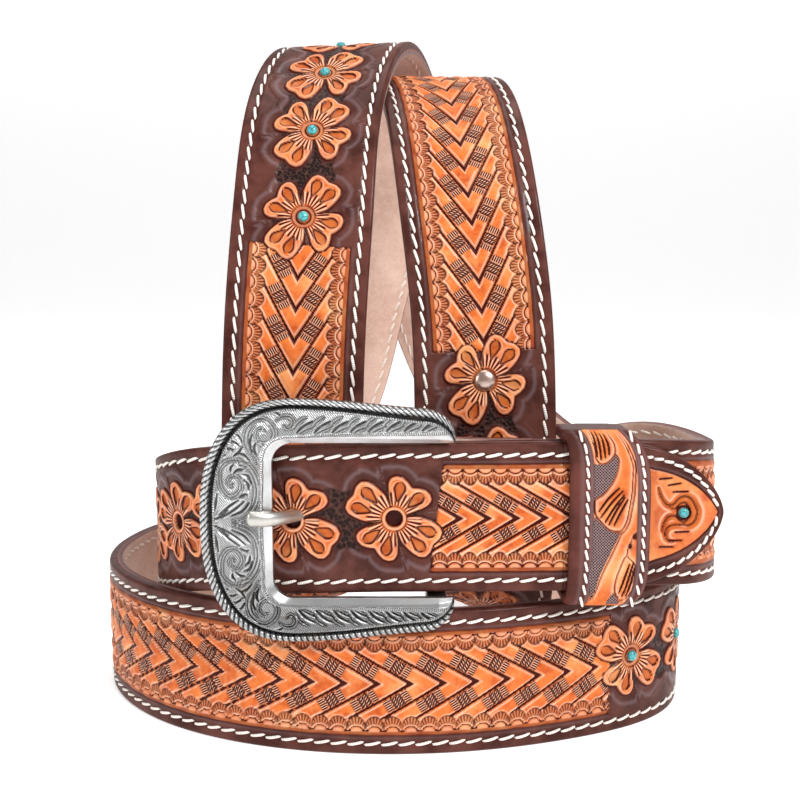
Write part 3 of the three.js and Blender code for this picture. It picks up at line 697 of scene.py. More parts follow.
def swept(name, points, finish, fields=None, looped=False, flip=False, flat_ends=False):
    """A closed piece from rows of points round it, looped or with a face at each end."""
    rows, n = points.shape[:2]
    quads = grid_quads(rows, n, True)
    ends = ()
    if looped:
        joint = grid_quads(2, n, True)
        joint = np.where(joint >= n, joint - n, joint + (rows - 1) * n)
        quads = np.concatenate([quads, joint])
    else:
        ends = (np.arange(n)[::-1], np.arange(n) + (rows - 1) * n)
    if flip:
        quads = quads[:, ::-1]
        ends = [end[::-1] for end in ends]
    return finish_piece(make_mesh(name, points, quads, ends, fields, flat_ends), *finish)


ROUND_STEPS = np.radians([25, 50, 72, 90])
# Each ply: the height and way of its rounding, the most that it takes of the width and as what share, its
# least half width, how much narrower it is, rim at each step of the rounding, and the rows further down
# its side as height, how far that draws in, and the pale painted highlight along the seam
PLIES = {
    "strap": {
        "base": 0.0, "way": -1, "round": (EDGE_ROUND, 0.6), "least": 0.0, "narrower": 0.0,
        "rim": (0.3, 0.7, 1, 1),
        "side": ((0.35 - OUTER_THICK, 0, 0), (0.12 - OUTER_THICK, 0, 0.9), (-OUTER_THICK, 0.12, 1)),
    },
    "lining": {
        "base": -STRAP_THICK, "way": 1, "round": (0.6, 0.5), "least": 0.4, "narrower": 0.05,
        "rim": (0.2, 0.6, 1, 1),
        "side": ((-LINING_TOP - 0.25, 0, 0), (-LINING_TOP, 0, 1)),
    },
}


def lining_face(u, v, half):
    """The suede face, a little uneven and pressed in along its stitches."""
    inset = half - np.abs(v)
    trough = bump(inset - STITCH_IN, 0.8) * (inset > 0)
    wave = 0.05 * np.sin(u * 0.9 + 2 * np.sin(v * 0.5)) * np.sin(v * 0.8 + 1.3)
    return {"height": -STRAP_THICK + 0.16 * trough + wave * smooth(0, 2, inset), "shade": 0.35 * trough}


def ply_shell(name, node, start, end, step, column, finish):
    """A stretch of the strap's tooled ply or of its lining, as one closed shell."""
    ply = PLIES[node]
    rows = np.linspace(start, end, max(2, math.ceil((end - start) / step)) + 1)[:, None]
    half = np.maximum(ply["least"], half_width(rows) - ply["narrower"])
    round_off = np.minimum(ply["round"][0], half * ply["round"][1])
    flat = half - round_off
    v_face = flat * np.linspace(-1, 1, math.ceil(2 * STRAP_HALF / column) + 1)
    u_face = np.broadcast_to(rows, v_face.shape)
    top = tooling(u_face, v_face) if node == "strap" else lining_face(u_face, v_face, half)
    arc_v = flat + round_off * np.sin(ROUND_STEPS)
    arc_h = ply["base"] + ply["way"] * round_off * (1 - np.cos(ROUND_STEPS))
    side_v = np.concatenate([arc_v] + [half - drawn_in for _, drawn_in, _ in ply["side"]], axis=1)
    side_h = np.concatenate([arc_h] + [height + 0 * half for height, _, _ in ply["side"]], axis=1)

    def around(face, side, way=1):
        return np.concatenate([face, side, way * side[:, ::-1]], axis=1)

    def sides_only(values):
        return around(0 * v_face, np.broadcast_to(np.array(values, float), side_v.shape))

    points = strap.surface(rows, around(v_face, side_v, -1), around(top["height"], side_h))
    fields = {field: around(top[field], 0 * side_v) for field in FIELDS[1:] if field in top}
    fields["rim"] = sides_only(ply["rim"] + (1,) * len(ply["side"]))
    fields["seam_highlight"] = sides_only((0,) * len(ROUND_STEPS) + tuple(seam_highlight for _, _, seam_highlight in ply["side"]))
    return swept(name, points, finish, fields, flip=node == "lining", flat_ends=True)


def stitch_line():
    """Places along the outline a little inside it, and the way the line runs there, for one side."""
    point = LENGTH - POINT_LENGTH * np.linspace(1, 0, 1200) ** 2
    u = np.concatenate([np.arange(1.0, TIP_START, 0.5), point])
    half = half_width(u)
    slope = np.gradient(half, u)
    normal = -unit(np.stack([-slope, np.ones(len(u))], axis=1))
    line = np.stack([u, half], axis=1) + stitch_inset(LENGTH - u)[:, None] * normal
    line = line[line[:, 1] > ROWS_END]
    line = line[np.concatenate([[True], np.diff(np.maximum.accumulate(line[:, 0])) > 0])]
    run = running_length(line)
    closer = smooth(0, 12, line[:, 0] - TIP_START)
    density = 1 / (STITCH_PITCH + (TIP_PITCH - STITCH_PITCH) * closer)
    count = np.concatenate([[0], np.cumsum(np.diff(run) * density[1:])])
    places = np.interp(np.arange(FIRST_STITCH, count[-1], 1), count, run)
    lu, lv = (np.interp(places, run, column) for column in line.T)
    du, dv = (np.interp(places + 0.2, run, column) for column in line.T)
    return lu, lv, np.arctan2(dv - lv, du - lu), np.interp(places, run, STITCH_SHARE / density)


# A stitch: rings along it, how thick it is and how high its middle stands at each, and its number of sides
FULL_ROD = ([-1.0, -0.82, -0.4, 0.0, 0.4, 0.82, 1.0], [0.5, 0.85, 1.0, 1.0, 1.0, 0.85, 0.5],
            [-0.42, -0.1, 0.16, 0.22, 0.16, -0.1, -0.42], 6)
PLAIN_ROD = ([-1.0, -0.6, 0.6, 1.0], [0.5, 1.0, 1.0, 0.5], [-0.42, 0.16, 0.16, -0.42], 5)
KEEPER_ROD = ([-1.0, -0.8, -0.4, 0.0, 0.4, 0.8, 1.0], [0.5, 0.85, 1.0, 1.0, 1.0, 0.85, 0.5],
              [-0.42, -0.1, 0.14, 0.2, 0.14, -0.1, -0.42], 8)
FULL_TURN = 6.3


def rod_shape(rod):
    """A rod's rings along, girth and arch, ready to go with its angles round."""
    along, girth, arch = (np.array(row)[None, :, None] for row in rod[:3])
    return along, girth, arch, (np.arange(rod[3]) * 2 * math.pi / rod[3])[None, None, :]


def rods(name, points, twist, slot, flip=False):
    """Separate closed rods of thread, from points by rod, ring and side."""
    count, rings, sides = points.shape[:3]
    each = rings * sides
    quads = (grid_quads(rings, sides, True) + np.arange(count)[:, None, None] * each).reshape(-1, 4)
    caps = []
    for i in range(count):
        start = np.arange(sides) + i * each
        caps += [start[::-1], start + each - sides]
    if flip:
        quads = quads[:, ::-1]
        caps = [cap[::-1] for cap in caps]
    twist = np.broadcast_to(twist, points.shape[:3])
    return finish_piece(make_mesh(name, points, quads, caps, {"twist": twist}), thread, slot)


def stitches(name, places, base, lift, rod, slot):
    """Thread stitches at places u, v, angle and half length. lift is 1 on the face and -1 on the lining."""
    u, v, turn, reach = (row[:, None, None] for row in places)
    along, girth, arch, ring = rod_shape(rod)
    length = reach * along
    side = THREAD_WIDE * girth * np.cos(ring)
    rise = THREAD_HIGH * girth * np.sin(ring)
    c, s = np.cos(turn), np.sin(turn)
    pu = u + length * c - side * s
    pv = v + length * s + side * c
    points = strap.surface(pu, pv, base + lift * (arch + rise))
    return rods(name, points, along * 4 + ring / FULL_TURN, slot, lift < 0)


# Materials
def linear(rgb):
    """A colour given as sRGB numbers from 0 to 255."""
    parts = [c / 255 for c in rgb]
    return (*(c / 12.92 if c <= 0.04045 else ((c + 0.055) / 1.055) ** 2.4 for c in parts), 1.0)


class Shader:
    """Short words for building one node material. Its colours are sRGB numbers from 0 to 255."""

    def __init__(self, name):
        self.material = bpy.data.materials.new(name)
        self.material.use_nodes = True
        self.tree = self.material.node_tree
        self.place = self.node("TexCoord")["Object"]

    def feed(self, node, sockets):
        """Give each named or numbered socket its link, colour or number."""
        for key, value in sockets.items():
            if isinstance(value, bpy.types.NodeSocket):
                self.tree.links.new(value, node.inputs[key])
            else:
                node.inputs[key].default_value = linear(value) if isinstance(value, tuple) else value

    def node(self, kind, sockets=(), **settings):
        """Add a node and return its outputs."""
        node = self.tree.nodes.new("ShaderNode" + kind)
        for key, value in settings.items():
            setattr(node, key, value)
        self.feed(node, dict(sockets))
        return node.outputs

    def set(self, **values):
        """Feed the surface's own sockets, with _ for each blank in a name."""
        named = {key.replace("_", " "): value for key, value in values.items()}
        self.feed(self.tree.nodes["Principled BSDF"], named)

    def field(self, name):
        return self.node("Attribute", attribute_name=name)["Fac"]

    def math(self, kind, *values):
        return self.node("Math", enumerate(values), operation=kind)[0]

    def times(self, a, b):
        return self.math("MULTIPLY", a, b)

    def noise(self, scale, detail, rough, warp=0.0):
        sockets = {"Scale": scale, "Detail": detail, "Roughness": rough, "Distortion": warp}
        return self.node("TexNoise", {"Vector": self.place, **sockets})["Fac"]

    def cells(self, scale, kind):
        return self.node("TexVoronoi", {"Vector": self.place, "Scale": scale}, feature=kind)["Distance"]

    def remap(self, value, low, high, to_low=0.0, to_high=1.0):
        """Carry the range from low to high over to another one, with soft ends."""
        sockets = {"From Min": low, "From Max": high, "To Min": to_low, "To Max": to_high}
        sockets["Value"] = value
        return self.node("MapRange", sockets, interpolation_type="SMOOTHSTEP")["Result"]

    def mix(self, amount, a, b):
        return self.node("Mix", {0: amount, 6: a, 7: b}, data_type="RGBA", clamp_factor=True)[2]

    def bump(self, height, distance, strength, under=None):
        sockets = {"Strength": strength, "Distance": distance, "Height": height}
        if under is not None:
            sockets["Normal"] = under
        return self.node("Bump", sockets)["Normal"]

    def hatch(self, pitch):
        """Two sets of slanting lines over the x and z of a place, 1 on a line."""
        split = self.node("SeparateXYZ", {0: self.place})
        waves = []
        for kind in ("ADD", "SUBTRACT"):
            slanting = self.math(kind, split[0], split[2])
            waves.append(self.math("SINE", self.times(slanting, 2 * math.pi / pitch)))
        return self.math("MAXIMUM", *waves)

    def stripes(self, phase):
        """A wave from 0 to 1 that repeats once for each whole phase."""
        return self.math("MULTIPLY_ADD", self.math("SINE", self.times(phase, 2 * math.pi)), 0.5, 0.5)


DARK_DYE, DARK_DYE_DEEP = (94, 54, 46), (62, 28, 22)
KEEPER_DYE, KEEPER_DYE_DEEP = (98, 52, 44), (68, 32, 26)
HATCH_DARK, HATCH_LIGHT, HATCH_PITCH = (40, 22, 22), (180, 150, 150), 0.00075
TAN, TAN_RED, TAN_PALE = (214, 112, 52), (180, 74, 26), (242, 172, 112)
ANTIQUE, LIGHT_STROKE = (62, 10, 4), (240, 180, 148)
BLACK_MAT, BROWN_MAT = (18, 10, 10), (74, 46, 40)
# The grey is painted sheen, a reflection on the dark ground; the pink is painted highlight on raised edges,
# partly real pale rubbed leather
PINK_RUB_AND_HIGHLIGHT, PAINTED_SHEEN_GREY = (252, 204, 174), (138, 118, 122)
# The seam colour is a pale painted highlight along the line where the plies meet
EDGE, SEAM_HIGHLIGHT = (92, 50, 44), (168, 104, 92)
SUEDE, SUEDE_DEEP, SUEDE_LIGHT = (228, 198, 182), (204, 170, 152), (242, 218, 206)
SUEDE_FIBRE, SUEDE_PRESSED = (176, 138, 122), (160, 120, 104)
# The groove colour is painted shade in the grooves of the thread's twist
THREAD, THREAD_SOILED, THREAD_GROOVE_SHADE = (252, 247, 240), (206, 178, 156), (168, 136, 116)
METAL_GREY, METAL_BROWN = (168, 168, 167), (150, 128, 104)
STONE, STONE_DEEP, STONE_VEIN = (76, 184, 184), (44, 150, 162), (62, 60, 44)
FLOOR_WHITE, LIGHT_WHITE = (252, 252, 252), (255, 255, 255)


def leather_material(name, ground, deep, hatched=False):
    s = Shader(name)
    mottled = s.noise(90, 4, 0.6)
    blotch = s.noise(260, 5, 0.65)
    fine = s.noise(2600, 3, 0.6)
    dark = s.mix(s.remap(mottled, 0.35, 0.65), ground, deep)
    warm = s.mix(s.remap(blotch, 0.4, 0.72), TAN, TAN_RED)
    warm = s.mix(s.remap(mottled, 0.48, 0.72, 0.0, 0.6), warm, TAN_PALE)
    colour = s.mix(s.field("dye"), dark, warm)
    # Painted sheen: grey reflection mixed in where the sheen field is high; the same field also lowers the
    # roughness
    colour = s.mix(s.times(s.field("gloss"), 0.4), colour, PAINTED_SHEEN_GREY)
    # Painted highlight on raised edges, partly real pale rubbed leather, mixed towards pink
    colour = s.mix(s.times(s.field("rub"), s.remap(blotch, 0.2, 0.7, 0.5, 1.0)), colour, PINK_RUB_AND_HIGHLIGHT)
    shade = s.field("shade")
    # The shade field darkens towards ANTIQUE: dark antique finish in the cuts, and painted shade in the
    # recesses and troughs
    soft = s.times(s.times(shade, 0.6), s.remap(fine, 0.2, 0.8, 0.8, 1.1))
    worn = s.math("MAXIMUM", soft, s.remap(shade, 0.36, 0.74))
    colour = s.mix(worn, colour, ANTIQUE)
    wave = s.stripes(s.field("phase"))
    bars = s.field("bars")
    strokes = s.remap(bars, 0.65, 0.95, 0.4, 1.0)
    light = s.times(s.times(bars, strokes), s.remap(wave, 0.55, 0.9, 0.0, 0.9))
    darker = s.times(bars, s.remap(wave, 0.6, 0.3, 0.0, 1.0))
    colour = s.mix(darker, s.mix(light, colour, LIGHT_STROKE), ANTIQUE)
    if hatched:
        pits = s.hatch(HATCH_PITCH)
        mat = s.mix(s.remap(pits, 0.35, 0.95), HATCH_DARK, HATCH_LIGHT)
    else:
        pits = s.cells(1100, "F1")
        mat = s.mix(s.remap(pits, 0.38, 0.85), BLACK_MAT, BROWN_MAT)
    colour = s.mix(s.times(s.field("pebble"), 0.92), colour, mat)
    edge = s.mix(s.remap(blotch, 0.3, 0.7), EDGE, DARK_DYE_DEEP)
    # Painted highlight along the seam between the plies
    edge = s.mix(s.times(s.field("seam_highlight"), 0.8), edge, SEAM_HIGHLIGHT)
    colour = s.mix(s.field("rim"), colour, edge)
    rough = s.math("MULTIPLY_ADD", s.field("gloss"), -0.1, s.remap(fine, 0.2, 0.8, 0.36, 0.56))
    s.set(Base_Color=colour, Roughness=rough)
    s.set(Specular_IOR_Level=0.08, Coat_Weight=0.1, Coat_Roughness=0.14)
    normal = s.bump(s.times(wave, bars), 0.0002, 0.8)
    normal = s.bump(s.times(pits, s.field("pebble")), 0.0005, 0.8, normal)
    normal = s.bump(s.cells(1500, "SMOOTH_F1"), 0.00008, 0.35, normal)
    s.set(Normal=s.bump(blotch, 0.0003, 0.22, normal))
    return s.material


def suede_material():
    s = Shader("suede_lining")
    nap = s.noise(420, 5, 0.7, 0.6)
    fibre = s.noise(3200, 3, 0.7)
    colour = s.mix(s.remap(s.noise(55, 4, 0.6), 0.3, 0.7), SUEDE, SUEDE_DEEP)
    colour = s.mix(s.remap(nap, 0.35, 0.75, 0.0, 0.5), colour, SUEDE_LIGHT)
    colour = s.mix(s.remap(fibre, 0.3, 0.6, 0.35, 0.0), colour, SUEDE_FIBRE)
    colour = s.mix(s.times(s.field("shade"), 0.6), colour, SUEDE_PRESSED)
    # Painted highlight along the seam between the plies
    edge = s.mix(s.times(s.field("seam_highlight"), 0.8), EDGE, SEAM_HIGHLIGHT)
    colour = s.mix(s.field("rim"), colour, edge)
    s.set(Base_Color=colour, Roughness=0.92)
    s.set(Specular_IOR_Level=0.2, Sheen_Weight=0.35, Sheen_Roughness=0.5)
    s.set(Normal=s.bump(nap, 0.0005, 0.4, s.bump(fibre, 0.00018, 0.6)))
    return s.material


def thread_material():
    s = Shader("stitch_thread")
    twist = s.math("SINE", s.times(s.field("twist"), 2 * math.pi))
    colour = s.mix(s.remap(s.noise(700, 3, 0.6), 0.45, 0.8, 0.0, 0.4), THREAD, THREAD_SOILED)
    # Painted shade in the grooves of the twist
    colour = s.mix(s.remap(twist, -0.4, -1.0, 0.0, 0.45), colour, THREAD_GROOVE_SHADE)
    s.set(Base_Color=colour, Roughness=0.62, Normal=s.bump(twist, 0.0001, 0.6))
    return s.material


def metal_material(name, bright, dull, brown, rough_low):
    s = Shader(name)
    cloud = s.noise(140, 4, 0.6)
    fine = s.noise(3000, 4, 0.7)
    worn = s.mix(s.remap(cloud, 0.35, 0.7, 0.0, 0.55), bright, METAL_GREY)
    tone = s.times(s.field("shade"), s.remap(fine, 0.2, 0.8, 0.85, 1.1))
    colour = s.mix(tone, worn, dull)
    colour = s.mix(s.remap(cloud, 0.5, 0.8, 0.0, brown), colour, METAL_BROWN)
    wave = s.stripes(s.field("phase"))
    bars = s.field("bars")
    colour = s.mix(s.times(bars, s.remap(wave, 0.4, 0.0, 0.0, 0.85)), colour, dull)
    clouded = s.remap(cloud, 0.2, 0.8, rough_low, rough_low + 0.14)
    rough = s.math("MULTIPLY_ADD", s.field("shade"), 0.25, clouded)
    s.set(Base_Color=colour, Metallic=1.0, Roughness=rough)
    normal = s.bump(s.times(wave, bars), 0.0002, 0.8)
    s.set(Normal=s.bump(fine, 0.00006, 0.3, normal))
    return s.material


def stone_material():
    s = Shader("turquoise")
    cloud = s.noise(500, 4, 0.6)
    colour = s.mix(s.remap(cloud, 0.3, 0.7), STONE, STONE_DEEP)
    vein = s.remap(s.cells(620, "DISTANCE_TO_EDGE"), 0.02, 0.07, 0.75, 0.0)
    s.set(Base_Color=s.mix(vein, colour, STONE_VEIN), Roughness=0.3, Coat_Weight=0.3, Coat_Roughness=0.15)
    s.set(Normal=s.bump(cloud, 0.0001, 0.4))
    return s.material


leather = leather_material("tooled_leather", DARK_DYE, DARK_DYE_DEEP)
keeper_leather = leather_material("keeper_leather", KEEPER_DYE, KEEPER_DYE_DEEP, True)
suede = suede_material()
thread = thread_material()
turquoise = stone_material()
# Each metal: its bright colour, its dull one, how far it goes brown, and its least roughness
silver = metal_material("buckle_metal", (200, 201, 202), (24, 21, 20), 0.16, 0.24)
dark_silver = metal_material("bar_metal", (92, 86, 82), (40, 36, 34), 0.3, 0.24)
prong_silver = metal_material("prong_metal", (196, 193, 187), (110, 106, 102), 0.2, 0.36)
rivet_metal = metal_material("rivet_metal", (206, 172, 158), (128, 100, 90), 0.2, 0.24)

# Strap and lining: each stretch's name, start and end, and the spacing of its points along and across
SHELLS = [
    ("fold", 0, 60, 1.0, 0.9),
    ("right_side", 60, 130, 0.5, 0.45),
    ("right_back", 130, 345, 0.82, 0.72),
    ("left_arch_back", 345, 400, 0.8, 0.7),
    ("left_arch", 400, 560, 0.38, 0.34),
    ("left_arch_low", 560, 595, 1.0, 0.9),
    ("left_curl", 595, 775, 0.95, 0.85),
    ("lower_left", 775, 855, 0.6, 0.5),
    ("lower_front", 855, 1080, 0.42, 0.37),
    ("right_curl", 1080, 1195, 0.9, 0.75),
    ("right_arch", 1195, 1335, 0.38, 0.34),
    ("right_arch_back", 1335, 1395, 0.8, 0.7),
    ("upper_left", 1395, LENGTH - 188, 0.62, 0.52),
    ("front", LENGTH - 188, TIP_START, 0.32, 0.3),
    ("point", TIP_START, POINT_END, 0.28, 0.3),
]
for label, start, end, step, column in SHELLS:
    ply_shell("strap_" + label, "strap", start, end, step, column, (leather, "tooled_leather", "strap"))
LINING_CUTS = [0, 60, 595, 1134, POINT_END]
LINING_SPACING = (2.5, 2.1)
for index, (start, end) in enumerate(zip(LINING_CUTS, LINING_CUTS[1:])):
    finish = (suede, "suede_lining", "lining")
    ply_shell(f"lining_{index}", "lining", start, end, *LINING_SPACING, finish)

# Stitches on both faces, slanting the same way on each side
SLANT = math.radians(12)
line_u, line_v, line_turn, line_reach = stitch_line()
both = (
    np.concatenate([line_u, line_u]),
    np.concatenate([line_v, -line_v]),
    np.concatenate([line_turn + SLANT, -line_turn + SLANT]),
    np.concatenate([line_reach, line_reach]),
)
stitches("stitches_face", both, -0.14, 1.0, FULL_ROD, "tooled_leather")
stitches("stitches_lining", both, -STRAP_THICK + 0.2, -1.0, PLAIN_ROD, "suede_lining")

# Keeper. Carving is laid out on a band 20.2 wide, x from its left edge and v up from its middle
KEEPER_THICK = 2.4
KEEPER_FRONT, KEEPER_BACK, KEEPER_LOW, KEEPER_HIGH = -50.5, -40.3, 42.3, 82.3
KEEPER_MIDDLE = (KEEPER_LOW + KEEPER_HIGH) / 2
KEEPER_LEFT, KEEPER_RIGHT, KEEPER_REACH = 42.2, 62.1, 22.4
KEEPER_WIDE = 20.2
KEEPER_CORNER, KEEPER_INNER_CORNER = 2.6, 1.0
KEEPER_STITCHES, KEEPER_PITCH = (4.3, 18.5), 2.98
KEEPER_THREAD, KEEPER_STITCH_HALF, KEEPER_SLANT, KEEPER_SUNK = (0.36, 0.3), 1.5, 0.36, 0.22
KEEPER_LINE_WIDE, KEEPER_SLIT_WIDE, KEEPER_HIGHLIGHT_WIDE = 0.27, 0.38, 0.85
KEEPER_BAND = (5.9, 16.8)
KEEPER_COLUMNS = 96
FRONT_SPACING, SIDE_SPACING = 0.26, 1.4
# The carving: edges that its grounds and lines share, sunk grounds, lines, slits and seeds
LEAF_HEAD = [(6.2, 5), (8.1, 6.3), (9.9, 8.4), (11.1, 10.5), (12, 12.9), (12.5, 15.3), (12, 16.6)]
LEAF_FOOT = [(12.9, -2.6), (11.3, -2.8), (9.6, -2.3), (7.8, -0.55), (6.4, 1.2)]
STEM = [(15.2, 21.5), (15.3, 19.1), (15.5, 16.4), (15.8, 13.6), (15.5, 10.1), (15.3, 6.7), (14.7, 2.6)]
STEM_WIDE = 0.7
KEEPER_GROUNDS = [
    [(5.9, 14), (7.5, 14), (10.5, 15.1), *LEAF_HEAD[::-1], (5.8, 6.5), (5.8, 10)],
    [*LEAF_FOOT[::-1], (12.6, -3.3), (10.1, -8.5), (7.7, -14.3), (6.6, -20.2), (5.1, -14.7), (5.5, -11.2),
     (5.6, -7.8), (5.6, -4.3), (5.8, -0.9)],
    [(11.7, -19.4), (12.6, -18.6), (15.2, -20.9), (14.5, -21.8), (11.4, -21.2)],
]
KEEPER_LINES = [
    [(7.5, 22.2), (6.75, 19.5), (6.6, 16.7), (6.6, 15.3), (7.5, 14.2), (8.9, 14.3), (10.5, 15.3),
     (11.8, 16.9), (12.4, 19), (12.4, 20.7), (12.7, 22.2)],
    [*STEM, (14.1, -0.5), *LEAF_FOOT, (6.1, 2.9), *LEAF_HEAD],
    [*((x + STEM_WIDE, v) for x, v in STEM), (14.7, -0.9), (13.2, -3.3), (11.3, -3.1)],
    [(13.2, -2.9), (11.0, -8.0), (8.3, -14.3), (7.0, -20.2)],
    [(16.9, -3.0), (15.7, -4.5), (15.3, -6), (14.6, -7.4), (14.4, -9.1), (13.8, -9.8), (12.9, -12.2),
     (12.1, -15.3), (12.5, -18.4), (15.2, -20.7), (16.8, -18.4), (16.8, -15.3), (16.6, -11.5),
     (15.1, -9.8), (14.4, -9.1)],
]
KEEPER_SLITS = [
    [(8.1, 21.9), (7.2, 18.8), (6.9, 15.9)],
    [(9.2, 21.9), (8.2, 18.5), (7.8, 15.2)],
    [(10.2, 21.7), (9.4, 18.6), (8.9, 15.6)],
    [(11.1, 21.5), (10.7, 18.8), (10.1, 16.4)],
    [(12.1, 8.1), (9.4, 5.4), (7.1, 2.2)],
    [(13, 7.4), (10.2, 4.3), (7.6, 0.65)],
    [(13.3, 6.3), (11.0, 3.2), (8.7, -0.55)],
    [(13.5, 5.7), (11.6, 2.6), (9.7, -1.1)],
    [(14.3, 5.2), (12.7, 2.2), (11, -1.3)],
    [(16.2, -10.8), (15.3, -15), (14.8, -19.4)],
    [(16.5, -12.2), (16.1, -15.8), (15.8, -19.4)],
    [(15.2, -11.2), (14.2, -15), (13.6, -18.6)],
]
KEEPER_SEEDS = [(16.2, -4.2), (15.2, -6.6)]
# Painted sheen lines, pale grey and a little glossier, along the keeper's borders: place, width and
# strength
KEEPER_SHEEN_LINES = ((3.0, 0.6, 0.5), (5.3, 0.5, 0.9), (17.5, 0.5, 0.9), (19.5, 0.4, 0.5))


def keeper_x(x, v):
    """Where a place on the laid-out band comes to lie on the belt; its edges draw in at the ends."""
    up, down = np.clip(v, 0, 23) / KEEPER_REACH, np.clip(-v, 0, 23) / KEEPER_REACH
    left = KEEPER_LEFT - 2.5 * up**7 - 1.0 * down**6
    right = KEEPER_RIGHT - 5.5 * up**4.5 - 4.1 * down**6
    return left + (right - left) * x / KEEPER_WIDE


def keeper_fields(x, v):
    """Carving of the keeper's front."""
    out = blank(x)
    left, right = KEEPER_BAND
    band = window(x, left, right, 0.12)
    lines = smooth(0.2, 0.7, stroke_field(x, v, KEEPER_LINES, KEEPER_LINE_WIDE))
    slits = smooth(0.25, 0.7, stroke_field(x, v, KEEPER_SLITS, KEEPER_SLIT_WIDE))
    seeds = sum(bump(np.hypot(x - a, (v - b) * 0.6), 0.6) for a, b in KEEPER_SEEDS)
    cuts = np.maximum(np.maximum(lines, slits), seeds) * band
    ground = np.zeros(np.shape(x))
    for outline in KEEPER_GROUNDS:
        smooth_outline = [tuple(point) for point in polyline(outline + outline[:1], 4)]
        ground = np.maximum(ground, within_outline(x, v, smooth_outline))
    ground = ground * window(x, 5.0, right, 0.12) * (1 - lines)
    tan_part = band * (1 - ground)
    out.dye = tan_part * (1 - 0.1 * cuts)
    out.height = 0.22 * tan_part - 0.42 * cuts - 0.1 * ground
    out.shade = np.maximum(0.6 * lines, np.maximum(slits, seeds)) * band
    # Painted highlight beside the carved lines
    near_cuts = stroke_field(x, v, KEEPER_LINES, KEEPER_HIGHLIGHT_WIDE) * tan_part
    out.rub = 0.75 * near_cuts * (1 - cuts)
    out.pebble = ground
    for line in KEEPER_STITCHES:
        out.height -= 0.22 * bump(x - line, 0.6)
        out.shade += 0.2 * bump(x - line, 0.6)
    for line in (left, right):
        out.height -= 0.2 * bump(x - line, 0.25)
        out.shade += 0.5 * bump(x - line, 0.22)
    # Painted sheen lines along the borders
    out.gloss = sum(strength * bump(x - place, width) for place, width, strength in KEEPER_SHEEN_LINES)
    out.height -= 0.55 * (1 - smooth(0, 2.8, x)) ** 2
    soft = np.minimum(x, KEEPER_WIDE - x)
    out.height -= 0.5 * (1 - smooth(0, 0.8, soft))
    clip_fields(out, ("shade", "rub", "dye"))
    return out


def rounded_ring(y0, y1, z0, z1, corner):
    """Points round a rectangle with round corners, and the way out at each. The front has the finest."""
    y0, y1, z0, z1 = y0 + corner, y1 - corner, z0 + corner, z1 - corner
    centres = np.array([(y1, z1), (y0, z1), (y0, z0), (y1, z0)])
    turns = np.linspace(0, math.pi / 2, 6)[1:-1]
    path, normal = [], []
    for quarter, out in enumerate(np.array([(1, 0), (0, 1), (-1, 0), (0, -1)])):
        start, stop = centres[quarter - 1], centres[quarter]
        spacing = FRONT_SPACING if quarter == 2 else SIDE_SPACING
        steps = np.linspace(0, 1, max(2, math.ceil(math.dist(start, stop) / spacing)) + 1)[:, None]
        path.append(start + corner * out + (stop - start) * steps)
        normal.append(out + 0 * steps)
        angle = turns + quarter * math.pi / 2
        spokes = np.stack([np.cos(angle), np.sin(angle)], axis=1)
        path.append(stop + corner * spokes)
        normal.append(spokes)
    return np.concatenate(path), np.concatenate(normal)


def build_keeper():
    front, back, low, high = KEEPER_FRONT, KEEPER_BACK, KEEPER_LOW, KEEPER_HIGH
    t = KEEPER_THICK
    outer, away = rounded_ring(front - t, back + t, low - t, high + t, KEEPER_CORNER)
    inner, _ = rounded_ring(front, back, low, high, KEEPER_INNER_CORNER)
    count = len(outer)
    inner = inner[np.linspace(0, len(inner) - 1, count).round().astype(int)]
    x = np.broadcast_to(np.linspace(0, KEEPER_WIDE, KEEPER_COLUMNS)[:, None], (KEEPER_COLUMNS, count))
    v = np.broadcast_to(outer[None, :, 1] - KEEPER_MIDDLE, x.shape)
    facing = np.clip(-away[None, :, 0], 0, 1)
    fields = keeper_fields(x, v)
    height = fields["height"] * (0.3 + 0.7 * facing) - 0.05
    out_y = outer[None, :, 0] + away[None, :, 0] * height
    out_z = outer[None, :, 1] + away[None, :, 1] * height
    out_x = keeper_x(x, v)
    shell = np.stack([out_x, out_y, out_z], axis=-1)
    first = np.stack([out_x[0], inner[:, 0], inner[:, 1]], axis=-1)[None]
    last = np.stack([out_x[-1], inner[:, 0], inner[:, 1]], axis=-1)[None]
    points = np.concatenate([first, shell, last]) - MIDDLE
    bare = np.zeros((1, count))
    tooled = np.where(facing > 0.3, 1, 0)
    values = {field: np.concatenate([bare, fields[field] * tooled, bare]) for field in FIELDS[1:]}
    values["rim"] = np.concatenate([bare + 1, np.zeros(x.shape), bare + 1])
    values["seam_highlight"] = 0 * values["rim"]
    swept("keeper_band", points, (keeper_leather, "keeper_leather", "keeper"), values, looped=True)


build_keeper()


def keeper_stitches():
    """Two upright rows of thread on the keeper's front."""
    rows = KEEPER_PITCH * np.arange(-7, 8)
    x = np.concatenate([keeper_x(line, rows) for line in KEEPER_STITCHES])[:, None, None]
    z = (KEEPER_MIDDLE + np.tile(rows, 2))[:, None, None]
    along, girth, arch, ring = rod_shape(KEEPER_ROD)
    wide, high = KEEPER_THREAD
    px = x + wide * girth * np.cos(ring) - KEEPER_SLANT * along
    py = KEEPER_FRONT - KEEPER_THICK + KEEPER_SUNK - arch - high * girth * np.sin(ring) + 0 * px
    points = np.stack([px, py, z + KEEPER_STITCH_HALF * along + 0 * px], axis=-1) - MIDDLE
    rods("keeper_stitches", points, along * 3 + ring / FULL_TURN, "keeper_leather")


keeper_stitches()

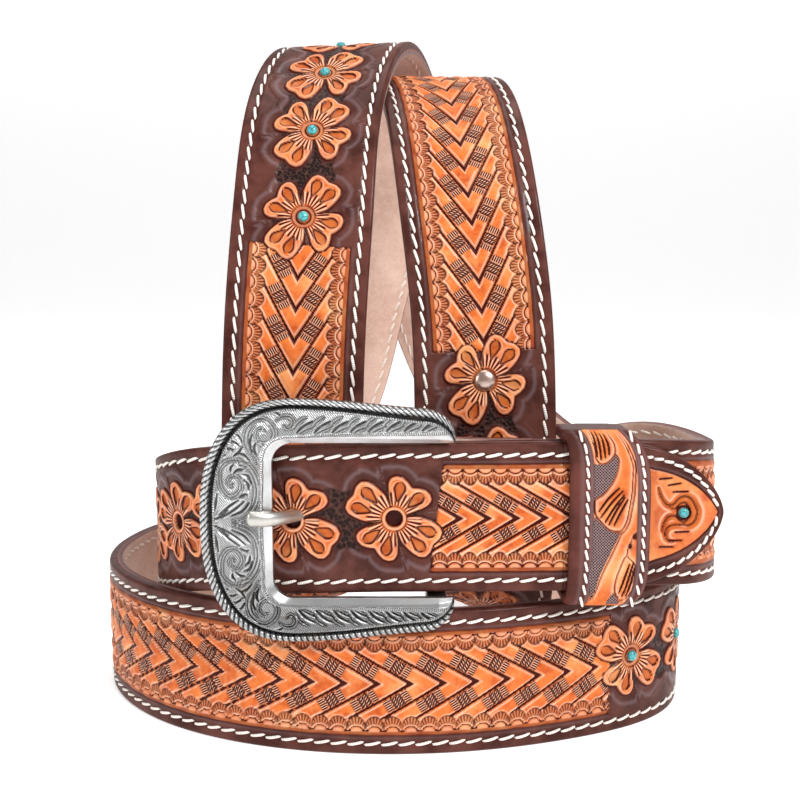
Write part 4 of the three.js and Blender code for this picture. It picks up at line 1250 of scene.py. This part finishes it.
# Buckle
BUCKLE_BACK, BUCKLE_Z, BUCKLE_RIGHT = -51.3, 62.0, 13.6
OPENING_LEFT, OPENING_HALF, OPENING_CORNER = -31.6, 19.6, 5.2
ARM_HEIGHT, ARM_ROUND, ARM_LEAST = 8.2, 7.5, 1.2
LEFT_BULGE, SHOULDER_X, SHOULDER_HALF = 17.8, -26.0, 30.6
POST_LEFT, POST_RIGHT, POST_THICK = 6.6, 11.8, 3.4
BLOCK_EDGE = 0.7
BAR_X, BAR_Y, BAR_RADIUS = 10.0, -39.0, 1.8
# The face's height, by place across the ring from the opening to the outer edge
FRAME_PROFILE = np.array(
    [(0, 1.6), (0.14, 2.7), (0.42, 3.5), (0.74, 3.2), (0.86, 2.3), (0.92, 2.9), (1, 2.1)]
)


def halves(f):
    """Which half of the ring f lies in, and how far it is from that half's open end to the middle."""
    return np.where(f < 0.5, 1, -1), 1 - np.abs(1 - 2 * f)


def opening_outline(f):
    """The opening's edge, x and z, from the upper arm's end round to the lower arm's."""
    side, g = halves(f)
    straight = BUCKLE_RIGHT - OPENING_LEFT - OPENING_CORNER
    down = OPENING_HALF - OPENING_CORNER
    arc = OPENING_CORNER * math.pi / 2
    run = g * (straight + arc + down)
    angle = np.clip((run - straight) / OPENING_CORNER, 0, math.pi / 2)
    x = np.where(run < straight, BUCKLE_RIGHT - run, OPENING_LEFT + OPENING_CORNER * (1 - np.sin(angle)))
    z = OPENING_HALF - OPENING_CORNER * (1 - np.cos(angle))
    z = np.where(run > straight + arc, down - (run - straight - arc), z)
    return x, side * z


def rim_outline(f):
    """The ring's outer edge, laid out as the opening's is."""
    side, g = halves(f)
    arm = OPENING_HALF + ARM_HEIGHT
    a = np.clip(g / 0.5, 0, 1)
    rise = a * a * (3 - 2 * a)
    from_end = (BUCKLE_RIGHT - SHOULDER_X) * a
    curl = np.sqrt(1 - np.clip(1 - from_end / ARM_ROUND, 0, 1) ** 2)
    least = OPENING_HALF + ARM_LEAST
    full = arm + (SHOULDER_HALF - arm) * rise
    b = np.clip((g - 0.5) / 0.5, 0, 1) * math.pi / 2
    reach = SHOULDER_X - (OPENING_LEFT - LEFT_BULGE)
    x = np.where(g < 0.5, BUCKLE_RIGHT - from_end, SHOULDER_X - reach * np.sin(b) ** 0.82)
    z = np.where(g < 0.5, least + (full - least) * curl, SHOULDER_HALF * np.cos(b) ** 0.82)
    return x, side * z


# Scrolls and leaves cut into the upper half of the face; the lower half mirrors them
SCROLLS = [
    [(-41.1, -0.1), (-37.8, 0.9), (-35.3, 3.9), (-34.6, 8.1), (-35.1, 11.4), (-36.6, 14.1), (-38.9, 15.5),
     (-41.5, 15.6), (-43.4, 14.4), (-44.3, 12.6), (-44.1, 9.2), (-42.6, 6.9), (-40.7, 6.6), (-39.1, 8.1),
     (-38.9, 9.9), (-40.0, 11.6), (-41.5, 11.4), (-42.2, 9.9), (-41.5, 8.8), (-40.9, 9.6)],
    [(-41.1, 0.8), (-38.1, 1.8), (-36.0, 4.3), (-35.3, 8.1), (-35.9, 11.1), (-37.2, 13.3), (-39.1, 14.7)],
    [(-34.8, 14.4), (-37.8, 19.4), (-37.5, 23.0), (-35.9, 25.0), (-33.6, 25.9), (-31.4, 24.6),
     (-30.4, 22.3), (-31.4, 20.2), (-33.6, 19.6), (-34.9, 20.9), (-34.8, 22.7), (-33.6, 23.5),
     (-32.7, 22.4)],
    [(-34.2, 15.4), (-36.9, 19.6), (-36.7, 22.6), (-35.4, 24.3)],
    [(-30.0, 25.4), (-28.6, 26.4), (-26.6, 26.2), (-26.0, 24.6), (-27.2, 23.4), (-28.2, 24.2)],
]
LEAVES = [
    [(-41.5, 12.9), (-41.4, 13.8), (-40.7, 14.6)],
    [(-40.7, 12.4), (-39.6, 13.3), (-38.3, 13.4)],
    [(-38.6, 12.2), (-37.2, 11.6), (-36.4, 9.6)],
    [(-38.3, 10.8), (-37.3, 9.8), (-37.0, 8.2)],
    [(-39.4, 6.3), (-38.2, 7.1), (-37.3, 7.0)],
    [(-39.6, 5.7), (-41.9, 4.2), (-44.6, 1.9)],
    [(-38.2, 5.4), (-40.6, 3.4), (-43.8, 1.3)],
    [(-37.0, 5.0), (-38.6, 3.1), (-41.6, 1.7)],
    [(-45.7, 10.2), (-46.4, 6.8), (-46.2, 3.2)],
    [(-44.9, 7.4), (-45.3, 4.9), (-45.9, 2.4)],
    [(-46.4, 0.5), (-44.2, 1.5), (-42.4, 3.2)],
    [(-45.4, 15.0), (-44.2, 16.4), (-42.4, 17.0)],
    [(-44.0, 17.6), (-42.4, 18.6), (-40.4, 18.2)],
    [(-42.6, 19.7), (-40.8, 20.3), (-39.0, 19.0)],
    [(-40.9, 21.8), (-39.6, 21.9), (-38.5, 20.2)],
    [(-39.4, 17.4), (-38.0, 16.9), (-36.6, 15.4)],
    [(-40.6, 16.7), (-39.4, 17.6), (-38.4, 19.0)],
    [(-36.2, 17.6), (-36.6, 20.0), (-36.0, 22.0)],
    [(-35.2, 16.9), (-35.6, 18.6), (-35.2, 19.9)],
    [(-33.2, 17.4), (-34.0, 16.2), (-34.0, 14.6)],
    [(-38.6, 24.6), (-36.8, 26.6), (-34.2, 27.4)],
    [(-32.8, 27.6), (-30.8, 27.6), (-29.2, 26.8)],
]
FEATHERS = range(8)
FEATHER_PITCH = 4.3


def buckle_cuts():
    """Bold cuts and thin ones over the whole face."""
    thick, thin = list(LEAVES), list(SCROLLS)
    for k in FEATHERS:
        x = -25.2 + FEATHER_PITCH * k
        thick.append([(x, 22.3), (x + 1.5, 23.9), (x + 4.0, 25.3)])
        thin.append([(x + 0.5, 22.1), (x + 2.6, 23.2), (x + 4.7, 24.1)])
        thin.append([(x - 0.6, 23.2), (x + 0.6, 24.9), (x + 2.4, 26.2)])
    for strokes in (thick, thin):
        strokes += [[(x, -z) for x, z in line] for line in strokes]
    return thick, thin


ROPE_WIDE, ROPE_PITCH, ROPE_SLANT = 2.0, 1.45, 0.62
MILLED_PITCH, GROUND_PITCH = 0.62, 0.45
# Where the face starts: from the opening's edge, and from the rope
FACE_IN, FACE_OUT = 3.1, 1.5
RING_COLUMNS, RING_SPACING = 76, 0.31
# Widths of the two sorts of cut, how far the leaves round them reach, and the line that echoes the thin
BOLD_WIDE, THIN_WIDE = 0.36, 0.25
BOLD_LEAF, THIN_LEAF = 0.95, 0.6
ECHO_REACH, ECHO_AWAY, ECHO_WIDE = 1.2, 0.62, 0.15


def buckle_ring():
    dense = np.linspace(0, 1, 6001)
    inner, outer = (np.stack(outline(dense), axis=1) for outline in (opening_outline, rim_outline))
    run = running_length(inner + (outer - inner) * 0.75)
    arc = np.linspace(0, run[-1], math.ceil(run[-1] / RING_SPACING) + 1)[:, None]
    f = np.interp(arc[:, 0], run, dense)
    f[0], f[-1] = 0, 1
    (ix, iz), (ox, oz) = opening_outline(f), rim_outline(f)
    wide = np.hypot(ox - ix, oz - iz)[:, None]
    v = np.linspace(0, 1, RING_COLUMNS)[None, :]
    x = ix[:, None] + (ox - ix)[:, None] * v
    z = iz[:, None] + (oz - iz)[:, None] * v
    from_in, from_out = v * wide, (1 - v) * wide
    h = np.interp(v, FRAME_PROFILE[:, 0], FRAME_PROFILE[:, 1]) + 0 * from_in
    room = smooth(0.2, 1.0, wide - 1.5)

    # Rope, the dark moat inside it and the milled lines
    rope = (1 - smooth(ROPE_WIDE - 0.1, ROPE_WIDE + 0.1, from_out)) * room
    strand = np.abs(np.sin(math.pi * (arc / ROPE_PITCH + from_out * ROPE_SLANT)))
    rope_height = 2.0 + np.sqrt(np.clip(1 - ((from_out - 1.0) / 1.08) ** 2, 0, 1))
    h = h * (1 - rope) + (rope_height - 0.5 * (1 - strand) ** 1.5) * rope
    moat = smooth(0.2, 0.6, bump(from_out - ROPE_WIDE - 0.45, 0.5)) * room
    milled = (bump(from_out - ROPE_WIDE - 1.2, 0.42) + bump(from_in - 2.6, 0.42)) * room
    milled = smooth(0.3, 0.6, milled)

    # Engraving
    face = smooth(FACE_IN, FACE_IN + 0.3, from_in)
    face = face * smooth(ROPE_WIDE + FACE_OUT, ROPE_WIDE + FACE_OUT + 0.3, from_out)
    bold, thin = buckle_cuts()
    deep_cuts = smooth(0.15, 0.6, stroke_field(x, z, bold, BOLD_WIDE))
    thin_cuts = smooth(0.1, 0.6, stroke_field(x, z, thin, THIN_WIDE))
    cuts = np.maximum(deep_cuts, 0.85 * thin_cuts) * face
    leafy = np.maximum(stroke_field(x, z, bold, BOLD_LEAF), stroke_field(x, z, thin, THIN_LEAF))
    nearness = np.clip(stroke_field(x, z, thin, ECHO_REACH), 1e-9, 1)
    beside = ECHO_REACH * np.sqrt(-np.log(nearness))
    echo = bump(beside - ECHO_AWAY, ECHO_WIDE) * face * (1 - cuts)
    ground = face * (1 - smooth(0.3, 0.7, leafy)) * (1 - smooth(0.05, 0.4, cuts))
    h += 0.12 * face - 0.5 * moat - 0.16 * echo - 0.5 * cuts - 0.1 * ground + 0.1 * milled
    h *= np.minimum(1, halves(f)[1] * 12 + 0.3)[:, None] ** 0.5
    shade = rope * (1 - smooth(0.3, 0.8, strand)) + moat + 0.88 * cuts + 0.62 * echo + 0.3 * ground
    # Painted reflection: the face darkens towards the lower arm
    shade += 0.26 * smooth(6, 26, -z)
    bars = 0.7 * ground + milled
    phase = np.where(milled > 0.3, arc / MILLED_PITCH, (x * 0.8 + z * 0.6) / GROUND_PITCH)

    def edged(values):
        return np.concatenate([values[:, :1], values, values[:, -1:]], axis=1)

    y = np.pad(BUCKLE_BACK - h, ((0, 0), (1, 1)), constant_values=BUCKLE_BACK)
    points = np.stack([edged(x), y, edged(z) + BUCKLE_Z], axis=-1) - MIDDLE
    fields = {
        "shade": edged(np.clip(shade, 0, 1)),
        "bars": edged(np.clip(bars, 0, 1)),
        "phase": edged(phase),
    }
    swept("buckle_face", points, (silver, "buckle_metal", "buckle_frame"), fields)


buckle_ring()


def soft_block(name, limits, finish):
    """A block with rounded edges."""
    corners = [(x, y, z) for x in limits[:2] for y in limits[2:4] for z in limits[4:]]
    quads = [(0, 1, 3, 2), (4, 6, 7, 5), (0, 4, 5, 1), (2, 3, 7, 6), (0, 2, 6, 4), (1, 5, 7, 3)]
    obj = make_mesh(name, np.array(corners) - MIDDLE, quads)
    bevel = obj.modifiers.new("edges", "BEVEL")
    bevel.width = BLOCK_EDGE * MM
    bevel.segments = 3
    return finish_piece(obj, *finish)


def tube(name, centres, radii_z, radii_y, sides, finish):
    """A closed tube along centres that lie in one level plane."""
    centres = np.array(centres, float)
    ahead = unit(np.gradient(centres, axis=0))
    beside = np.stack([-ahead[:, 1], ahead[:, 0], 0 * ahead[:, 0]], axis=1)
    ring = np.arange(sides) * 2 * math.pi / sides
    rise = np.array([0, 0, 1.0])
    points = (
        centres[:, None]
        + beside[:, None] * (np.array(radii_y)[:, None] * np.cos(ring))[..., None]
        + rise * (np.array(radii_z)[:, None] * np.sin(ring))[..., None]
    )
    return swept(name, points, finish, flip=True)


HIGH = BUCKLE_Z + OPENING_HALF + 0.3
LOW = BUCKLE_Z - OPENING_HALF - 0.3
for label, z0, z1 in (("high", HIGH, HIGH + POST_THICK), ("low", LOW - POST_THICK, LOW)):
    limits = (POST_LEFT, POST_RIGHT, BUCKLE_BACK - 1.0, BAR_Y + BAR_RADIUS, z0, z1)
    soft_block("buckle_post_" + label, limits, (dark_silver, "buckle_metal"))


def turned(name, rings, place, finish, axis=(0, 0, 1), sides=32):
    """A round piece: rings of radius and height about an axis through place."""
    axis = unit(np.array(axis, float))
    other = np.array([0, 0, 1.0]) if abs(axis[2]) < 0.8 else np.array([1.0, 0, 0])
    e1 = unit(np.cross(other, axis))
    e2 = np.cross(axis, e1)
    angle = np.arange(sides) * 2 * math.pi / sides
    rings = np.array(rings, float)
    spokes = np.cos(angle)[:, None] * e1 + np.sin(angle)[:, None] * e2
    points = place + rings[:, 0][:, None, None] * spokes[None] + rings[:, 1][:, None, None] * axis
    return swept(name, points, finish)


BAR_LOW, BAR_HIGH = LOW - 2.0, HIGH + 2.0
BAR_TAPER, BAR_END = 0.4, BAR_RADIUS * 0.8
bar_rings = [
    (BAR_END, BAR_LOW),
    (BAR_RADIUS, BAR_LOW + BAR_TAPER),
    (BAR_RADIUS, BAR_HIGH - BAR_TAPER),
    (BAR_END, BAR_HIGH),
]
turned("buckle_bar", bar_rings, np.array([BAR_X, BAR_Y, 0]) - MIDDLE, (dark_silver, "buckle_metal"))

# Prong: place x, y, its rise over the buckle's middle and half of its height
PRONG_PATH = [
    (8.8, -41.6, 0, 1.5),
    (1, -43.9, 0, 1.5),
    (-13, -44.2, 0, 1.5),
    (-21.3, -45, 0.2, 1.45),
    (-25.4, -48.2, 0.5, 1.45),
    (-28.3, -52.4, 0.9, 1.5),
    (-32.2, -56.2, 1.4, 1.8),
    (-37.4, -57.1, 1.8, 2.05),
]
PRONG_DEEP, PRONG_TIP, PRONG_BLUNT = 1.45, 1.5, 1.2


def build_prong():
    path = Route([(x, y, BUCKLE_Z + rise, 0, 0, 1) for x, y, rise, _ in PRONG_PATH])
    heights = np.array([row[3:] for row in PRONG_PATH])
    height_at = natural_spline(np.linspace(0, path.length, len(heights)), heights)
    tip = PRONG_TIP * np.linspace(0.95, 0, 14) ** 1.6
    run = np.concatenate([np.linspace(0, path.length - PRONG_TIP, 70), path.length - tip])
    to_end = (path.length - run) / PRONG_BLUNT
    blunt = np.where(to_end < 1, np.sqrt(np.maximum(0.04, 1 - (1 - to_end) ** 2)), 1)
    tall = height_at(run)[:, 0] * blunt
    deep = np.minimum(tall, PRONG_DEEP * blunt)
    tube("prong_tongue", path.pick(path.at, run), tall, deep, 28, (prong_silver, "prong_metal", "prong"))


build_prong()
# The eye's outline round its ring, as radius and height
EYE = [(2.15, -2.1), (3.2, -2.1), (3.5, -1.7), (3.5, 1.7), (3.2, 2.1), (2.15, 2.1)]


def ring_piece(name, profile, place, finish, sides=40):
    """A ring about an upright axis, from a closed outline of radius and height."""
    angle = np.arange(sides + 1) * 2 * math.pi / sides
    profile = np.array(profile, float)
    x = profile[None, :, 0] * np.cos(angle[:-1])[:, None]
    y = profile[None, :, 0] * np.sin(angle[:-1])[:, None]
    z = np.broadcast_to(profile[None, :, 1], x.shape)
    points = np.stack([x, y, z], axis=-1) + place
    return swept(name, points, finish, looped=True)


ring_piece("prong_eye", EYE, np.array([BAR_X, BAR_Y, BUCKLE_Z]) - MIDDLE, (prong_silver, "prong_metal"))

# Stones and the metal dome: distance from the tip and place across, and the radius and height that show
SMALL_STONE, STONE_SIZE, DOME_SIZE = (1.25, 1.0), (1.4, 1.05), (2.8, 1.3)
LEFT_FLOWERS, LOWER_FLOWERS, RIGHT_FLOWERS = (run["centres"] for run in FLOWER_RUNS[:3])
SETTINGS = [
    ("tip_stone", (TIP_STONE_D, TIP_STONE_V), SMALL_STONE),
    ("right_arch_dome", RIGHT_FLOWERS[3], DOME_SIZE),
    ("lower_stone_a", LOWER_FLOWERS[0], STONE_SIZE),
    ("lower_stone_b", LOWER_FLOWERS[1], STONE_SIZE),
    ("left_arch_stone_a", LEFT_FLOWERS[3], STONE_SIZE),
    ("left_arch_stone_b", LEFT_FLOWERS[2], STONE_SIZE),
    ("left_arch_stone_c", LEFT_FLOWERS[1], STONE_SIZE),
    ("left_arch_stone_d", LEFT_FLOWERS[0], STONE_SIZE),
]
# How deep a setting goes into the leather, and how high above it its dome starts
SUNK, SHOWN = 0.5, 0.05


def build_setting(name, place, size):
    from_tip, across = place
    radius, height = size
    u = np.array([LENGTH - from_tip])
    foot = strap.surface(u, across, 0.0)[0]
    axis = unit(strap.pick(strap.face, u))[0]
    turns = np.linspace(0, math.pi / 2, 9)[:-1]
    rings = [(radius, -SUNK)]
    rings += [(radius * math.cos(a), SHOWN + height * (0.12 + 0.88 * math.sin(a))) for a in turns]
    rings += [(0.02, SHOWN + height)]
    finish = (rivet_metal, "rivet_metal") if size is DOME_SIZE else (turquoise, "stone")
    turned(name + "_face", rings, foot, (*finish, name), axis)


for row in SETTINGS:
    build_setting(*row)

# Floor
floor_shader = Shader("floor")
floor_shader.set(Base_Color=FLOOR_WHITE, Roughness=0.8, Emission_Color=LIGHT_WHITE, Emission_Strength=0.44)
floor_shader.set(Normal=floor_shader.bump(floor_shader.noise(60, 3, 0.55), 0.0002, 0.1))
FLOOR = 4000.0
BACK_BEND = 900.0
BELOW = 0.02
bends = np.linspace(0, math.pi / 2, 12)
sweep = [(FLOOR / 2 + BACK_BEND * math.sin(a), BACK_BEND * (1 - math.cos(a))) for a in bends]
sweep = [(-FLOOR, 0.0), *sweep, (FLOOR / 2 + BACK_BEND, FLOOR)]
floor_points = np.array([(x, y, z - BELOW) for y, z in sweep for x in (-FLOOR, FLOOR)])
floor = make_mesh("floor", floor_points, grid_quads(len(sweep), 2, False))
floor.data.materials.append(floor_shader.material)

# Light and camera
world = bpy.data.worlds.new("studio")
bpy.context.scene.world = world
world.use_nodes = True
sky = world.node_tree.nodes["Background"].inputs
sky["Color"].default_value = (1, 1, 1, 1)
sky["Strength"].default_value = 0.31

# Each lamp: its place, the height it is aimed at, its side and its power
LAMPS = {
    "key": ((0.5, -0.65, 0.75), 0.08, 0.25, 9.0),
    "fill": ((-0.75, -0.5, 0.4), 0.08, 0.4, 2.4),
    "top": ((0, 0.0, 1.0), 0.05, 0.5, 3.4),
}
for name, (place, aim, side, power) in LAMPS.items():
    data = bpy.data.lights.new(name, "AREA")
    data.shape = "RECTANGLE"
    data.size = data.size_y = side
    data.energy = power
    obj = bpy.data.objects.new(name, data)
    bpy.context.scene.collection.objects.link(obj)
    obj.location = place
    x, y, z = np.subtract((0, 0, aim), place)
    obj.rotation_euler = (math.atan2(math.hypot(x, y), -z), 0, math.atan2(-x, y))

camera_data = bpy.data.cameras.new("camera")
camera = bpy.data.objects.new("camera", camera_data)
bpy.context.scene.collection.objects.link(camera)
camera_data.sensor_width = 36
camera_data.lens = 45
camera_data.clip_start = 0.01
camera_data.clip_end = 20
camera.location = (0, -0.3119, 0.122)
camera.rotation_euler = (math.radians(83), 0, 0)
bpy.context.scene.camera = camera
bpy.context.scene.view_settings.view_transform = "Standard"
